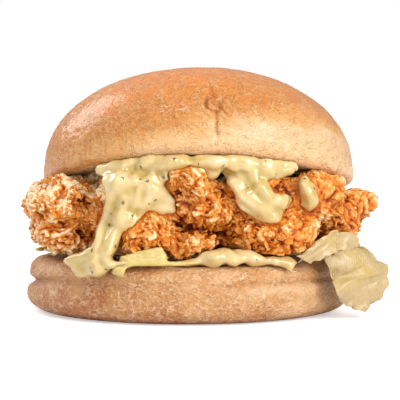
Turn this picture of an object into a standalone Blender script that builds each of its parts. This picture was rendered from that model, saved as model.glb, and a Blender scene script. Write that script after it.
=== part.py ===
"""A crispy chicken burger: a craggy fried fillet between the two halves of a soft bun, with herb
mayonnaise running down its front, shredded lettuce under it and a lettuce leaf hanging out at one side.

The origin is the middle of the heel's flat underside. The side that a diner sees is at -Y.
"""

import math
import random

import bmesh
import bpy
from mathutils import Matrix, Vector, noise
from mathutils.bvhtree import BVHTree

MM = 0.001
GAP = 0.35 * MM  # left between pieces that touch

# The bottom half of the bun
HEEL_RADIUS = 57 * MM
HEEL_HEIGHT = 19.6 * MM
HEEL_FOOT_RADIUS = 47 * MM
HEEL_LIP_RADIUS = 49.5 * MM  # where the cut face starts to round over
HEEL_BELLY_HEIGHT = 6 * MM
HEEL_SHOULDER_HEIGHT = 14.5 * MM
HEEL_CREASE_HEIGHT = 10.6 * MM  # at the far left, from where it climbs
HEEL_CREASE_CLIMB = 2.6 * MM
HEEL_CREASE_DEPTH = 2.6 * MM
HEEL_CREASE_WIDTH = 1.5 * MM
HEEL_SHOULDER_IN = 0.8 * MM  # how far the side leans in at the shoulder
HEEL_SIDE_IN = 0.3 * MM
HEEL_SIDE_HEIGHTS = [13.4, 12.4, 11.4, 10.4, 9.2, 7.7]  # in millimetres, close together at the crease
HEEL_LUMPS = 0.9 * MM
HEEL_EDGE_WAVE = 0.7 * MM

# The top half of the bun, tipped back so that its front edge shows the filling
CROWN_RADIUS = 55 * MM
CROWN_X = 4 * MM
CROWN_SEAT = 48.3 * MM  # height of its cut face over the origin
CROWN_DOME = 31.8 * MM  # from the widest level to the pole
CROWN_ROUNDNESS = 2.45
CROWN_RIM_UP = 3.7 * MM  # the rounded edge under the widest level
CROWN_RIM_IN = 4.6 * MM
CROWN_TILT = 0.176  # rise of the cut face towards the diner
CROWN_LEAN = 0.1
CROWN_DROOP = 5 * MM  # how far the edge hangs down left and right
CROWN_UNEVEN = 0.6 * MM
NAVEL_X = 9.8 * MM  # a pinched dimple high on the front, with a seam running down from it
NAVEL_HEIGHT = 18.4 * MM  # over the cut face
NAVEL_DEPTH = 1.3 * MM
NAVEL_SIZE = 3.4 * MM
SEAM_DEPTH = 0.6 * MM
SEAM_WIDTH = 1.7 * MM
SEAM_FINE_WIDTH = 5 * MM
DOME_SHARES = (0.14, 0.28, 0.42, 0.55, 0.67, 0.78, 0.87, 0.94, 0.98)  # rings, as shares of the radius
TURN_STEPS = 48

# The layers under the fillet, and the room over it
SPREAD_RADIUS = 45 * MM
SPREAD_TOP = 21.4 * MM
LETTUCE_TOP = 23.6 * MM
FILLET_BOTTOM = 24.0 * MM
FILLET_EDGE_BOTTOM = 21.5 * MM
TOP_SAUCE_DEPTH = 3.4 * MM
SHREDS_HEIGHT = 22.6 * MM  # middle of the bed of lettuce
FRONT_EDGE_RADIUS = 50.5 * MM  # round the crown's middle, as far as the upper mayonnaise comes out
FRONT_Y = -20 * MM  # what lies before this shows at the front

# Lobes of the fried fillet: middle and half sizes, in millimetres
FILLET_CORE = [
    ((3, 2, 36), (50, 45, 11)),
    ((3, -14, 40), (44, 32, 13)),
    ((-2, -22, 33), (42, 24, 9)),
]
FILLET_LOBES = [
    ((-41.5, -26, 39.5), (13, 16, 8.8)),  # the big flaky lobe at the left
    ((-41, -25, 29.5), (11.2, 15, 6.8)),
    ((-49, -8, 39.5), (8.2, 14, 6.8)),
    ((-46.5, -8, 29.5), (7.5, 14, 6)),
    ((1, -45, 47.5), (8.5, 11, 8)),  # the knuckle in the middle
    ((7, -41, 38), (11, 10.5, 7)),
    ((-17, -40, 44), (13, 10, 9)),
    ((-14, -42.5, 32), (11, 10.5, 7)),
    ((0.5, -43.5, 27.2), (7.5, 8, 4.2)),  # the crumbly toe below the cave
    ((23, -40, 44), (11, 10, 9)),
    ((29, -36, 30.5), (16.5, 14, 9)),  # the broad lobe at the right
    ((41, -24, 44), (14, 15, 9.5)),
    ((59.4, -6, 38.5), (7, 9, 5.2)),  # the knob that sticks out furthest
    ((52, -10, 31.5), (9, 15, 8)),
]
# Hollows seen from the front: across and up, half sizes, and depth, in millimetres
FILLET_HOLLOWS = [
    ((-36.2, 40.4), (3.4, 3), 5),
    ((-42.4, 43.4), (2.2, 2.2), 2.5),
    ((-34.5, 29.6), (5, 2.2), 4.5),
    ((-3.6, 44.6), (2.4, 3), 3.5),
    ((12.2, 44.8), (2.2, 3.2), 3.5),
    ((-1.5, 32.6), (3.4, 3.4), 6),
    ((11, 31.6), (3, 3.6), 5),
    ((31.6, 45.4), (2.2, 3.6), 5),
]
BACK_LOBES = 9
BACK_LOBE_RADIUS = 43 * MM
FILLET_VOXEL = 1.3 * MM
FILLET_TRIANGLES = 5000

# Crust relief
KNOB_SIZE = 8.5 * MM
KNOB_DEPTH = 2.6 * MM
RIDGE_SIZE = 6.5 * MM
RIDGE_DEPTH = 1.1 * MM
SWIRL_SIZE = 15 * MM
SWIRL_REACH = 6 * MM

# Runs of mayonnaise down the front: across, up and half width, in millimetres
SAUCE_RUNS = [
    [
        (-24, 51, 4.5), (-14, 53.5, 4.5), (-3, 56, 2.6), (8, 55.8, 2.6), (20, 54.5, 4), (31, 55, 2.2),
        (37, 54.5, 1.6),
    ],
    [(-24, 50, 5), (-21, 44, 6), (-23, 37, 6), (-24.5, 33, 5.4)],
    [(-15, 50, 5.5), (-13, 44, 5.8), (-8, 42, 5), (-6.5, 40.2, 3.4)],
    [(-18, 40, 5.5), (-20, 35, 4.5)],
    [(15, 52, 3.2), (20, 48, 6), (22.5, 43, 6.4), (27, 38.5, 4.6), (30.5, 35.8, 2.8)],
    [(28, 40, 4), (33.5, 42, 2.2)],
]
SAUCE_DROP = [(40, 48, 1.8), (41, 44.5, 3.2), (41.3, 41, 3.7)]
# Where the left run spreads over the edge of the heel: middle and half sizes, in millimetres
RUN_FOOT = [
    ((-24.5, -43.5, 33), (5.2, 7, 4.5)),
    ((-26.5, -46.5, 29.5), (4.8, 6.5, 4.2)),
    ((-27.5, -49.5, 27), (4.6, 4.4, 4)),
    ((-29, -50.5, 24.6), (4.6, 3.4, 3.6)),
    ((-32.5, -48.5, 22), (5, 3.8, 3)),
    ((-37.5, -45.2, 21.4), (4.6, 4.4, 1.9)),
    ((-34.5, -47.5, 18.8), (4.5, 3, 3.4)),
    ((-30, -50.5, 19.2), (4.2, 3, 2.8)),
    ((-25.5, -52.5, 20.6), (3.8, 2.4, 1.7)),
    ((-20.5, -54.2, 21.6), (3, 1.8, 1)),
]
SAUCE_THICKNESS = 2.5 * MM
SAUCE_VOXEL = 0.8 * MM
SAUCE_TRIANGLES = 1100
DROP_TRIANGLES = 120
SPREAD_TRIANGLES = 330

# Pool of mayonnaise squeezed out over the heel: middle and half sizes, in millimetres
POOL = [
    ((8, -42, 20.6), (7, 9, 0.95)),
    ((22, -39, 20.6), (7, 9, 0.95)),
    ((0, -50.5, 20.9), (6, 3.6, 1.3)),
    ((9, -50, 22.8), (5.5, 4.2, 3)),
    ((15.5, -49, 22.8), (6, 4.4, 3.3)),
    ((22, -47, 21.9), (5.5, 4.2, 2.3)),
    ((29, -44, 21.2), (5.5, 4.2, 1.5)),
    ((34, -42.5, 20.6), (4, 5, 1.3)),
    ((34.5, -46, 18.6), (1.7, 1.6, 2)),
]

# Shreds that show at the front: both ends, breadth and thickness, in millimetres
FRONT_SHREDS = [
    ((-22.5, -52, 22), (-7.5, -53.8, 25.8), 3.2, 1.4),
    ((-9, -53.7, 26), (-7, -52.6, 22.8), 2.4, 1.4),
    ((-21, -53.2, 20.7), (0.5, -54.8, 21.3), 1.9, 2),
    ((-15, -38, 22.6), (-20, -53.6, 21.6), 3.0, 1.6),
    ((-4, -38, 22.6), (-9, -54.2, 21.8), 2.6, 1.6),
    ((-21, -50, 21.2), (-23.6, -54, 18.8), 2.6, 1.8),
    ((-25, -52.6, 19), (-20.5, -54.8, 17.4), 3.2, 1.8),
]
SIDE_SHREDS = 22
SHRED_VOXEL = 0.7 * MM
SHRED_TRIANGLES = 1250

# Leaf cages, rows from the root to the tip, in millimetres
LEAF_THICKNESS = 0.8 * MM
LEAF_WAVE = 1.1 * MM
LEAF_WAVE_LENGTH = 4 * MM
OUTER_LEAF = [
    [(37.5, -41, 20.9), (43, -34.5, 20.9), (48, -26, 20.9), (52, -15, 20.9)],
    [(43, -40.5, 23.6), (50, -35.5, 23.8), (56, -26, 24.6), (60, -15, 24.4)],
    [(47.5, -40.5, 22.6), (53.5, -37, 24.4), (60, -29, 24), (64, -18, 21.5)],
    [(49, -40, 18.5), (55, -39, 18.6), (63, -32, 18.6), (68.2, -23, 17.5)],
    [(48.6, -37.6, 14.6), (54.5, -35.5, 14.4), (63, -30.5, 15), (69.2, -25, 14)],
    [(50.5, -38.6, 10.4), (56, -38, 12), (64, -32, 11.6), (69.2, -25, 11.4)],
    [(52, -37.4, 7.4), (57, -35.5, 6.6), (63, -30.5, 6.4), (67, -26, 8.2)],
    [(54.5, -35.5, 5.2), (58, -33, 3.2), (61.5, -30, 2.6), (63.5, -27.5, 4.6)],
]
INNER_LEAF = [
    [(37.5, -43.6, 22.6), (39.5, -43.2, 21.2), (41.5, -42.2, 20.6)],
    [(42.5, -42.8, 26.2), (44.5, -42.6, 25), (46.5, -41.8, 24.4)],
    [(48, -40, 30.2), (49.8, -39.4, 28.6), (51, -38.2, 26.6)],
    [(51, -36.5, 31.2), (52.6, -35.6, 29.4), (53.6, -34, 27)],
    [(54.8, -32.5, 30), (56.2, -31.5, 28.2), (56.8, -30, 26.2)],
    [(57.6, -28.6, 28.4), (59, -27.4, 26.8), (59.2, -26, 25)],
]

CRUST_COLOUR = (0.62, 0.27, 0.07)
CROWN_COLOUR = (0.72, 0.36, 0.13)
HEEL_COLOUR = (0.76, 0.46, 0.24)
SAUCE_COLOUR = (0.80, 0.73, 0.40)
LETTUCE_COLOUR = (0.72, 0.70, 0.36)


def clear_scene():
    for old in list(bpy.data.objects):
        bpy.data.objects.remove(old)


def make_collection(name, hidden):
    made = bpy.data.collections.new(name)
    made.hide_render = hidden
    bpy.context.scene.collection.children.link(made)
    return made


def make_material(name, colour, roughness):
    material = bpy.data.materials.new(name)
    material.use_nodes = True
    shader = material.node_tree.nodes["Principled BSDF"]
    shader.inputs["Base Color"].default_value = (*colour, 1)
    shader.inputs["Roughness"].default_value = roughness
    shader.inputs["Metallic"].default_value = 0
    return material


def add_object(name, mesh, collection, material=None):
    made = bpy.data.objects.new(name, mesh)
    if material:
        mesh.materials.clear()
        mesh.materials.append(material)
    collection.objects.link(made)
    return made


def apply_modifiers(obj):
    """Replaces the object's mesh by the one its modifiers make."""
    bpy.context.view_layer.update()
    graph = bpy.context.evaluated_depsgraph_get()
    mesh = bpy.data.meshes.new_from_object(obj.evaluated_get(graph))
    old = obj.data
    obj.modifiers.clear()
    obj.data = mesh
    bpy.data.meshes.remove(old)
    return obj


def keep_largest_island(obj):
    """Drops loose scraps, and sealed bubbles with them."""
    bm = bmesh.new()
    bm.from_mesh(obj.data)
    unseen, islands = set(bm.faces), []
    while unseen:
        stack, island = [unseen.pop()], []
        while stack:
            face = stack.pop()
            island.append(face)
            seams = [edge for edge in face.edges if len(edge.link_faces) == 2]
            neighbours = {other for edge in seams for other in edge.link_faces} & unseen
            unseen -= neighbours
            stack.extend(neighbours)
        islands.append(island)
    islands.sort(key=len)
    for island in islands[:-1]:
        bmesh.ops.delete(bm, geom=island, context="FACES")
    bm.to_mesh(obj.data)
    bm.free()


def fuse(obj, voxel, smoothing):
    """Melts overlapping shapes into one closed skin."""
    remesh = obj.modifiers.new("melt", "REMESH")
    remesh.mode = "VOXEL"
    remesh.voxel_size = voxel
    settle = obj.modifiers.new("settle", "SMOOTH")
    settle.factor = 0.5
    settle.iterations = smoothing
    apply_modifiers(obj)
    keep_largest_island(obj)
    return obj


def thin_out(obj, triangles):
    """Fewer triangles, spent where the surface bends."""
    faces = sum(len(polygon.vertices) - 2 for polygon in obj.data.polygons)
    decimate = obj.modifiers.new("thin", "DECIMATE")
    decimate.ratio = min(1, triangles / faces)
    decimate.use_collapse_triangulate = True
    apply_modifiers(obj)
    keep_largest_island(obj)
    return obj


def ellipsoid(middle, half_sizes, turn=None):
    """Matrix that makes a unit sphere this ellipsoid; sizes and place in metres."""
    rotation = turn.to_matrix().to_4x4() if turn else Matrix.Identity(4)
    return Matrix.Translation(middle) @ rotation @ Matrix.Diagonal((*half_sizes, 1))


def ellipsoids_mm(rows):
    return [ellipsoid(Vector(middle) * MM, Vector(sizes) * MM) for middle, sizes in rows]


def blob_object(name, matrices, collection, bars=()):
    bm = bmesh.new()
    for matrix in matrices:
        bmesh.ops.create_icosphere(bm, subdivisions=3, radius=1, matrix=matrix)
    for matrix in bars:
        bmesh.ops.create_cube(bm, size=1, matrix=matrix)
    mesh = bpy.data.meshes.new(name)
    bm.to_mesh(mesh)
    bm.free()
    return add_object(name, mesh, collection)


def tree_of(obj):
    return BVHTree.FromPolygons(
        [vertex.co.copy() for vertex in obj.data.vertices],
        [tuple(polygon.vertices) for polygon in obj.data.polygons],
    )


def carve(obj, others, clearance, cutters):
    """Cuts the neighbours out of a soft piece, with a gap left round them."""
    for other in others:
        cutter = add_object(other.name + "_cutter", other.data.copy(), cutters)
        cutter.hide_render = True
        cutter.display_type = "WIRE"
        swell = cutter.modifiers.new("swell", "DISPLACE")
        swell.strength = clearance
        swell.mid_level = 0
        apply_modifiers(cutter)
        cut = obj.modifiers.new("cut", "BOOLEAN")
        cut.operation = "DIFFERENCE"
        cut.solver = "MANIFOLD"  # the exact one leaves open edges on these uneven skins
        cut.object = cutter
        apply_modifiers(obj)
        bpy.data.objects.remove(cutter)
        keep_largest_island(obj)
    return obj


def turned(name, profile, collection, material):
    """A profile of (radius, height) points, outer side running down, turned about Z."""
    mesh = bpy.data.meshes.new(name)
    points = [(radius, 0, height) for radius, height in profile]
    mesh.from_pydata(points, [(i, i + 1) for i in range(len(points) - 1)], [])
    obj = add_object(name, mesh, collection)
    screw = obj.modifiers.new("turn", "SCREW")
    screw.steps = screw.render_steps = TURN_STEPS
    screw.use_merge_vertices = True
    screw.merge_threshold = 0.00001
    apply_modifiers(obj)
    obj.data.materials.append(material)
    return obj


def quarter(middle, radii, start, steps):
    """Points on a quarter ellipse in the (radius, height) plane, from start degrees down by 90."""
    for i in range(steps + 1):
        angle = math.radians(start - 90 * i / steps)
        yield middle[0] + radii[0] * math.cos(angle), middle[1] + radii[1] * math.sin(angle)


def build_heel(collection):
    shoulder_radius = HEEL_RADIUS - HEEL_SHOULDER_IN
    profile = [(0, HEEL_HEIGHT)]
    profile += quarter(
        (HEEL_LIP_RADIUS, HEEL_SHOULDER_HEIGHT),
        (shoulder_radius - HEEL_LIP_RADIUS, HEEL_HEIGHT - HEEL_SHOULDER_HEIGHT), 90, 3,
    )
    profile += [(HEEL_RADIUS - HEEL_SIDE_IN, height * MM) for height in HEEL_SIDE_HEIGHTS]
    profile += quarter(
        (HEEL_FOOT_RADIUS, HEEL_BELLY_HEIGHT),
        (HEEL_RADIUS - HEEL_FOOT_RADIUS, HEEL_BELLY_HEIGHT), 0, 4,
    )
    profile.append((0, 0))
    material = make_material("heel_crust", HEEL_COLOUR, 0.6)
    heel = turned("bun_heel", profile, collection, material)
    for vertex in heel.data.vertices:
        vertex.co = heel_shape(vertex.co)
    return heel


def heel_shape(point):
    """Folds a crease round the side, deep at left and right, and makes the edge uneven."""
    radius = math.hypot(point.x, point.y)
    if radius < HEEL_LIP_RADIUS - MM and point.z < MM or radius < MM:
        return point
    angle = math.atan2(point.y, point.x)
    strength = 0.12 + 0.88 * max(0, -math.cos(angle)) ** 4 + 0.4 * max(0, math.cos(angle)) ** 4
    from_left = math.pi - abs(angle)
    level = HEEL_CREASE_HEIGHT + HEEL_CREASE_CLIMB * (1 - math.exp(-((from_left / 0.45) ** 2)))
    fold = strength * HEEL_CREASE_DEPTH * math.exp(-(((point.z - level) / HEEL_CREASE_WIDTH) ** 2))
    around = Vector((point.x, point.y, 0)) / radius
    lump = noise.noise(around * 2.3 + Vector((3, 1, point.z * 40))) * HEEL_LUMPS
    side = min(1, max(0, (radius - HEEL_FOOT_RADIUS + 6 * MM) / (12 * MM)))
    moved = point + around * (side * lump - fold)
    top = max(0, (point.z - HEEL_BELLY_HEIGHT) / (HEEL_HEIGHT - HEEL_BELLY_HEIGHT))
    moved.z += side * top * HEEL_EDGE_WAVE * noise.noise(around * 2.8 + Vector((0, 7, 2)))
    return moved


def seat(x, y):
    """Height of the crown's cut face: it rises to the front and droops at the sides."""
    across = (x - CROWN_X) / CROWN_RADIUS
    return CROWN_SEAT - CROWN_TILT * y - CROWN_DROOP * across**2


def crown_underside(x, y):
    """Height of the crown's lower skin over a spot, and nothing beside it."""
    out = math.hypot(x - CROWN_X, y)
    if out >= CROWN_RADIUS:
        return math.inf
    share = max(0, out - (CROWN_RADIUS - CROWN_RIM_IN)) / CROWN_RIM_IN
    return seat(x, y) + CROWN_RIM_UP * (1 - math.sqrt(1 - share**2))


def build_crown(collection):
    profile = [(0, CROWN_RIM_UP + CROWN_DOME)]
    for radius_share in DOME_SHARES:
        rise = (1 - radius_share**CROWN_ROUNDNESS) ** (1 / CROWN_ROUNDNESS)
        profile.append((CROWN_RADIUS * radius_share, CROWN_RIM_UP + CROWN_DOME * rise))
    profile += quarter(
        (CROWN_RADIUS - CROWN_RIM_IN, CROWN_RIM_UP), (CROWN_RIM_IN, CROWN_RIM_UP), 0, 4
    )
    profile += [(0.6 * CROWN_RADIUS, 0), (0.3 * CROWN_RADIUS, 0), (0, 0)]
    material = make_material("crown_crust", CROWN_COLOUR, 0.38)
    crown = turned("bun_crown", profile, collection, material)
    refine_round_navel(crown)
    for vertex in crown.data.vertices:
        vertex.co = crown_shape(vertex.co)
    return crown


def refine_round_navel(crown):
    """Finer faces along the dimple and the seam below it."""
    bm = bmesh.new()
    bm.from_mesh(crown.data)
    edges = set()
    for face in bm.faces:
        middle = face.calc_center_median()
        near_seam = abs(middle.x - NAVEL_X + CROWN_X) < SEAM_FINE_WIDTH
        if near_seam and middle.y < 0 and 2 * MM < middle.z < NAVEL_HEIGHT + SEAM_FINE_WIDTH:
            edges.update(face.edges)
    bmesh.ops.subdivide_edges(bm, edges=list(edges), cuts=2, use_grid_fill=True)
    bmesh.ops.triangulate(bm, faces=bm.faces)
    bm.to_mesh(crown.data)
    bm.free()


def crown_shape(point):
    """Puts a point of the turned dome in place: navel, seam, uneven skin, tilt and droop."""
    moved = point.copy()
    if point.z > 0.1 * MM:
        radius = math.hypot(point.x, point.y)
        outward = Vector((point.x, point.y, 0)) / max(radius, MM)
        skin = noise.noise(point * 26 + Vector((5, 0, 1))) * CROWN_UNEVEN
        from_seam = point.x + CROWN_X - NAVEL_X if point.y < 0 else math.inf
        above = point.z - NAVEL_HEIGHT
        navel = NAVEL_DEPTH * math.exp(-((from_seam / NAVEL_SIZE) ** 2) - (above / NAVEL_SIZE) ** 2)
        below = min(1, max(0, -above / (4 * MM))) * min(1, max(0, (point.z - 2 * MM) / (6 * MM)))
        seam = SEAM_DEPTH * below * math.exp(-((from_seam / SEAM_WIDTH) ** 2))
        height_share = point.z / (CROWN_RIM_UP + CROWN_DOME)
        moved += (outward * (1 - height_share) + Vector((0, 0, height_share))) * (skin - navel - seam)
    x, y = moved.x + CROWN_X, moved.y
    return Vector((x, y + CROWN_LEAN * moved.z, moved.z + seat(x, y)))


def crust(point):
    """How far the batter stands out: knobs with deep seams, and curled ridges between them."""
    swirl = [noise.noise(point / SWIRL_SIZE + Vector((shift, 3, 0))) for shift in (9, 21, 33)]
    place = point + Vector(swirl) * SWIRL_REACH
    nearest, second = noise.voronoi(place / KNOB_SIZE)[0][:2]
    knob = min(1, 2.4 * (second - nearest))
    ridge = 1 - 2.6 * abs(noise.noise(place / RIDGE_SIZE))
    return KNOB_DEPTH * (knob - 0.62) + RIDGE_DEPTH * ridge


def sauce_cover(point):
    """1 under the runs of mayonnaise at the front, 0 away from them."""
    if point.y > FRONT_Y:
        return 0
    cover = 0
    for run in SAUCE_RUNS + [SAUCE_DROP]:
        for start, end in zip(run, run[1:]):
            a, b = Vector((start[0], start[1])) * MM, Vector((end[0], end[1])) * MM
            along = b - a
            spot = Vector((point.x, point.z))
            share = min(1, max(0, (spot - a).dot(along) / along.length_squared))
            width = (start[2] + (end[2] - start[2]) * share) * MM
            distance = (spot - a - along * share).length
            cover = max(cover, min(1, max(0, (width - distance) / (2 * MM))))
    return cover


def hollow(point):
    """How deep the crust is hollowed out at a spot of the front."""
    if point.y > FRONT_Y:
        return 0
    depth = 0
    for (across, up), (half_width, half_height), most in FILLET_HOLLOWS:
        out = ((point.x / MM - across) / half_width) ** 2 + ((point.z / MM - up) / half_height) ** 2
        depth = max(depth, most * MM * math.exp(-out))
    return depth


def settle_fillet(point, clearance):
    """Keeps the fillet under the crown and its sauce, and over the lettuce."""
    out = math.hypot(point.x - CROWN_X, point.y)
    inside = 1 if point.y < -25 * MM else min(1, max(0, (49 * MM - out) / (5 * MM)))
    at_side = min(1, max(0, (abs(point.x - CROWN_X) - 33 * MM) / (5 * MM)))
    room = clearance + TOP_SAUCE_DEPTH * inside * (1 - at_side)
    ceiling = crown_underside(point.x, point.y) - room
    middle_share = min(1, max(0, (50 * MM - math.hypot(point.x, point.y)) / (4 * MM)))
    floor = FILLET_EDGE_BOTTOM + (FILLET_BOTTOM - FILLET_EDGE_BOTTOM) * middle_share + clearance
    point.z = max(floor, min(ceiling, point.z))
    return point


def fillet_lobes():
    """The named lobes at the front, and a row of like ones round the back."""
    draw = random.Random(7)
    matrices = ellipsoids_mm(FILLET_CORE + FILLET_LOBES)
    for i in range(BACK_LOBES):
        angle = math.radians(4 + 176 * i / (BACK_LOBES - 1))
        sizes = Vector((draw.uniform(9, 13), draw.uniform(9, 13), draw.uniform(5.5, 7.5))) * MM
        radius = BACK_LOBE_RADIUS + draw.uniform(-3, 2) * MM
        middle = Vector((3 * MM + radius * 1.1 * math.cos(angle), radius * math.sin(angle), 0))
        middle.z = 32 * MM + draw.uniform(-2, 2) * MM
        matrices.append(ellipsoid(middle, sizes))
    return matrices


def build_fillet(collection):
    """Returns the craggy fillet, and a search tree of its smooth body for the sauce to lie on."""
    fillet = blob_object("chicken_fillet", fillet_lobes(), collection)
    fuse(fillet, FILLET_VOXEL, 6)
    body = tree_of(fillet)
    shifts = []
    for vertex in fillet.data.vertices:
        cover = sauce_cover(vertex.co)
        height = crust(vertex.co) * (1 - cover) - 0.6 * MM * cover
        shifts.append(vertex.normal * height + Vector((0, hollow(vertex.co) * (1 - cover), 0)))
    for vertex, shift in zip(fillet.data.vertices, shifts):
        vertex.co = settle_fillet(vertex.co + shift, 0.3 * MM)
    fuse(fillet, FILLET_VOXEL, 0)
    thin_out(fillet, FILLET_TRIANGLES)
    for vertex in fillet.data.vertices:
        vertex.co = settle_fillet(vertex.co, 0)
    fillet.data.materials.append(make_material("fried_crust", CRUST_COLOUR, 0.45))
    return fillet, body


def disc_of_blobs(radius, height, half_thickness, spacing, uneven):
    """Flat blobs on rings, which melt into a layer with an uneven edge."""
    matrices = []
    for ring in range(int(radius / spacing) + 1):
        count = max(1, 6 * ring)
        for i in range(count):
            angle = 2 * math.pi * (i + 0.5 * (ring % 2)) / count
            reach = ring * spacing
            if ring == int(radius / spacing):
                reach += uneven * noise.noise(Vector((3 * math.cos(angle), 3 * math.sin(angle), 5)))
            x, y = reach * math.cos(angle), reach * math.sin(angle)
            middle = Vector((x, y, height(x, y)))
            matrices.append(ellipsoid(middle, (0.95 * spacing, 0.95 * spacing, half_thickness)))
    return matrices


def on_front(carriers, x, z):
    """Where a line of sight from the diner meets what carries the sauce, and the normal there."""
    start = Vector((x, -0.1, z))
    hits = [tree.ray_cast(start, Vector((0, 1, 0))) for tree in carriers]
    hits = [(hit[0], hit[1]) for hit in hits if hit[0]]
    if not hits:
        return carriers[0].find_nearest(Vector((x, -50 * MM, z)))[:2]
    return min(hits, key=lambda hit: hit[0].y)


def run_of_blobs(run, carriers):
    """Flat blobs that follow a run of sauce down the front."""
    matrices = []
    for start, end in zip(run, run[1:]):
        length = math.hypot(end[0] - start[0], end[1] - start[1])
        steps = max(2, int(length / (0.35 * min(start[2], end[2]))))
        for i in range(steps + 1):
            share = i / steps
            x, z, half = (a + (b - a) * share for a, b in zip(start, end))
            spot, normal = on_front(carriers, x * MM, z * MM)
            normal = (normal + Vector((0, -1, 0))).normalized()
            thickness = min(SAUCE_THICKNESS, 0.85 * half * MM)
            turn = normal.to_track_quat("Z", "Y")
            middle = spot + normal * 0.25 * SAUCE_THICKNESS
            matrices.append(ellipsoid(middle, (half * MM, half * MM, thickness), turn))
    return matrices


def build_sauces(collection, cutters, body, heel, neighbours):
    material = make_material("herb_mayonnaise", SAUCE_COLOUR, 0.25)
    carriers = [body, tree_of(heel)]

    def layer_height(x, y):
        return seat(x + CROWN_X, y) - 1.7 * MM

    layer = [
        Matrix.Translation((CROWN_X, 0, 0)) @ matrix
        for matrix in disc_of_blobs(36 * MM, layer_height, 1.5 * MM, 9 * MM, 4 * MM)
    ]
    front = []
    for across in range(-27, 37, 4):
        x = across * MM
        edge = -math.sqrt(FRONT_EDGE_RADIUS**2 - (x - CROWN_X) ** 2)
        for y in (edge + 9 * MM, edge + 5 * MM, edge + MM * noise.noise(Vector((across / 7, 0, 3)))):
            middle = (x, y, seat(x, y) - 2.1 * MM)
            front.append(ellipsoid(middle, (4.5 * MM, 4.5 * MM, 2.3 * MM)))
    front += ellipsoids_mm(RUN_FOOT)
    runs = [matrix for run in SAUCE_RUNS for matrix in run_of_blobs(run, carriers)]
    sauce = blob_object("sauce_top", layer + front + runs, collection)
    drop = blob_object("sauce_drop", run_of_blobs(SAUCE_DROP, carriers), collection)
    for piece, triangles in ((sauce, SAUCE_TRIANGLES), (drop, DROP_TRIANGLES)):
        fuse(piece, SAUCE_VOXEL, 4)
        for vertex in piece.data.vertices:
            ceiling = crown_underside(vertex.co.x, vertex.co.y) - 1.5 * GAP
            if vertex.co.y > -38 * MM and piece == sauce:
                vertex.co.z = max(vertex.co.z, ceiling - TOP_SAUCE_DEPTH + 3 * GAP)
            vertex.co.z = min(vertex.co.z, ceiling)
        fuse(piece, SAUCE_VOXEL, 0)
        thin_out(piece, triangles)
        carve(piece, neighbours, GAP, cutters)
        piece.data.materials.clear()
        piece.data.materials.append(material)

    layer = disc_of_blobs(SPREAD_RADIUS - 8 * MM, lambda x, y: 20.55 * MM, 0.85 * MM, 7.4 * MM, 3 * MM)
    spread = blob_object("sauce_spread", layer + ellipsoids_mm(POOL), collection)
    fuse(spread, SHRED_VOXEL, 2)
    for vertex in spread.data.vertices:
        if math.hypot(vertex.co.x, vertex.co.y) < 46 * MM:
            vertex.co.z = min(vertex.co.z, SPREAD_TOP)
    thin_out(spread, SPREAD_TRIANGLES)
    carve(spread, neighbours, GAP, cutters)
    spread.data.materials.clear()
    spread.data.materials.append(material)
    return sauce, drop, spread


def bar(start, end, breadth, thickness):
    """A cut shred between two points, its breadth upright where it can be."""
    a, b = Vector(start), Vector(end)
    along = (b - a).normalized()
    turn = along.to_track_quat("X", "Z").to_matrix().to_4x4()
    sizes = Matrix.Diagonal(((b - a).length, thickness, breadth, 1))
    return Matrix.Translation((a + b) / 2) @ turn @ sizes


def build_shreds(collection, cutters, neighbours):
    """The bed of shredded lettuce, with shreds that stick out round its edge."""
    draw = random.Random(21)
    bars = []
    for start, end, breadth, thickness in FRONT_SHREDS:
        bars.append(bar(Vector(start) * MM, Vector(end) * MM, breadth * MM, thickness * MM))
    for i in range(SIDE_SHREDS):
        angle = math.radians(-5 + 212 * i / (SIDE_SHREDS - 1) + draw.uniform(-3, 3))
        reach = draw.uniform(50, 54.5) * MM
        outer = Vector((reach * math.cos(angle), reach * math.sin(angle), draw.uniform(20.9, 22.8) * MM))
        inward = angle + draw.choice((-1, 1)) * draw.uniform(0.25, 0.5)
        root = 39 * MM
        inner = Vector((root * math.cos(inward), root * math.sin(inward), SHREDS_HEIGHT))
        bars.append(bar(inner, outer, 1.7 * MM, draw.uniform(2.4, 4) * MM))
    disc = disc_of_blobs(36 * MM, lambda x, y: SHREDS_HEIGHT, 1.0 * MM, 7.2 * MM, 5 * MM)
    shreds = blob_object("lettuce_shreds", disc, collection, bars)
    fuse(shreds, SHRED_VOXEL, 1)
    for vertex in shreds.data.vertices:
        if math.hypot(vertex.co.x, vertex.co.y) < 48 * MM:
            vertex.co.z = max(SPREAD_TOP + GAP, min(LETTUCE_TOP, vertex.co.z))
    thin_out(shreds, SHRED_TRIANGLES)
    carve(shreds, neighbours, GAP, cutters)
    shreds.data.materials.clear()
    shreds.data.materials.append(make_material("lettuce", LETTUCE_COLOUR, 0.4))
    return shreds


def build_leaf(name, cage, collection, material):
    """A thin wavy sheet from a coarse cage of rows."""
    rows, columns = len(cage), len(cage[0])
    mesh = bpy.data.meshes.new(name)
    points = [Vector(point) * MM for row in cage for point in row]
    faces = [
        (r * columns + c, r * columns + c + 1, (r + 1) * columns + c + 1, (r + 1) * columns + c)
        for r in range(rows - 1)
        for c in range(columns - 1)
    ]
    mesh.from_pydata(points, [], faces)
    leaf = add_object(name, mesh, collection, material)
    soften = leaf.modifiers.new("soften", "SUBSURF")
    soften.levels = soften.render_levels = 1
    soften.boundary_smooth = "PRESERVE_CORNERS"
    apply_modifiers(leaf)
    for vertex in leaf.data.vertices:
        vertex.co += vertex.normal * LEAF_WAVE * noise.noise(vertex.co / LEAF_WAVE_LENGTH)
    split = leaf.modifiers.new("split", "TRIANGULATE")
    split.quad_method = "FIXED"
    shell = leaf.modifiers.new("thickness", "SOLIDIFY")
    shell.thickness = LEAF_THICKNESS
    shell.offset = 0
    shell.use_even_offset = True
    return apply_modifiers(leaf)


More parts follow.
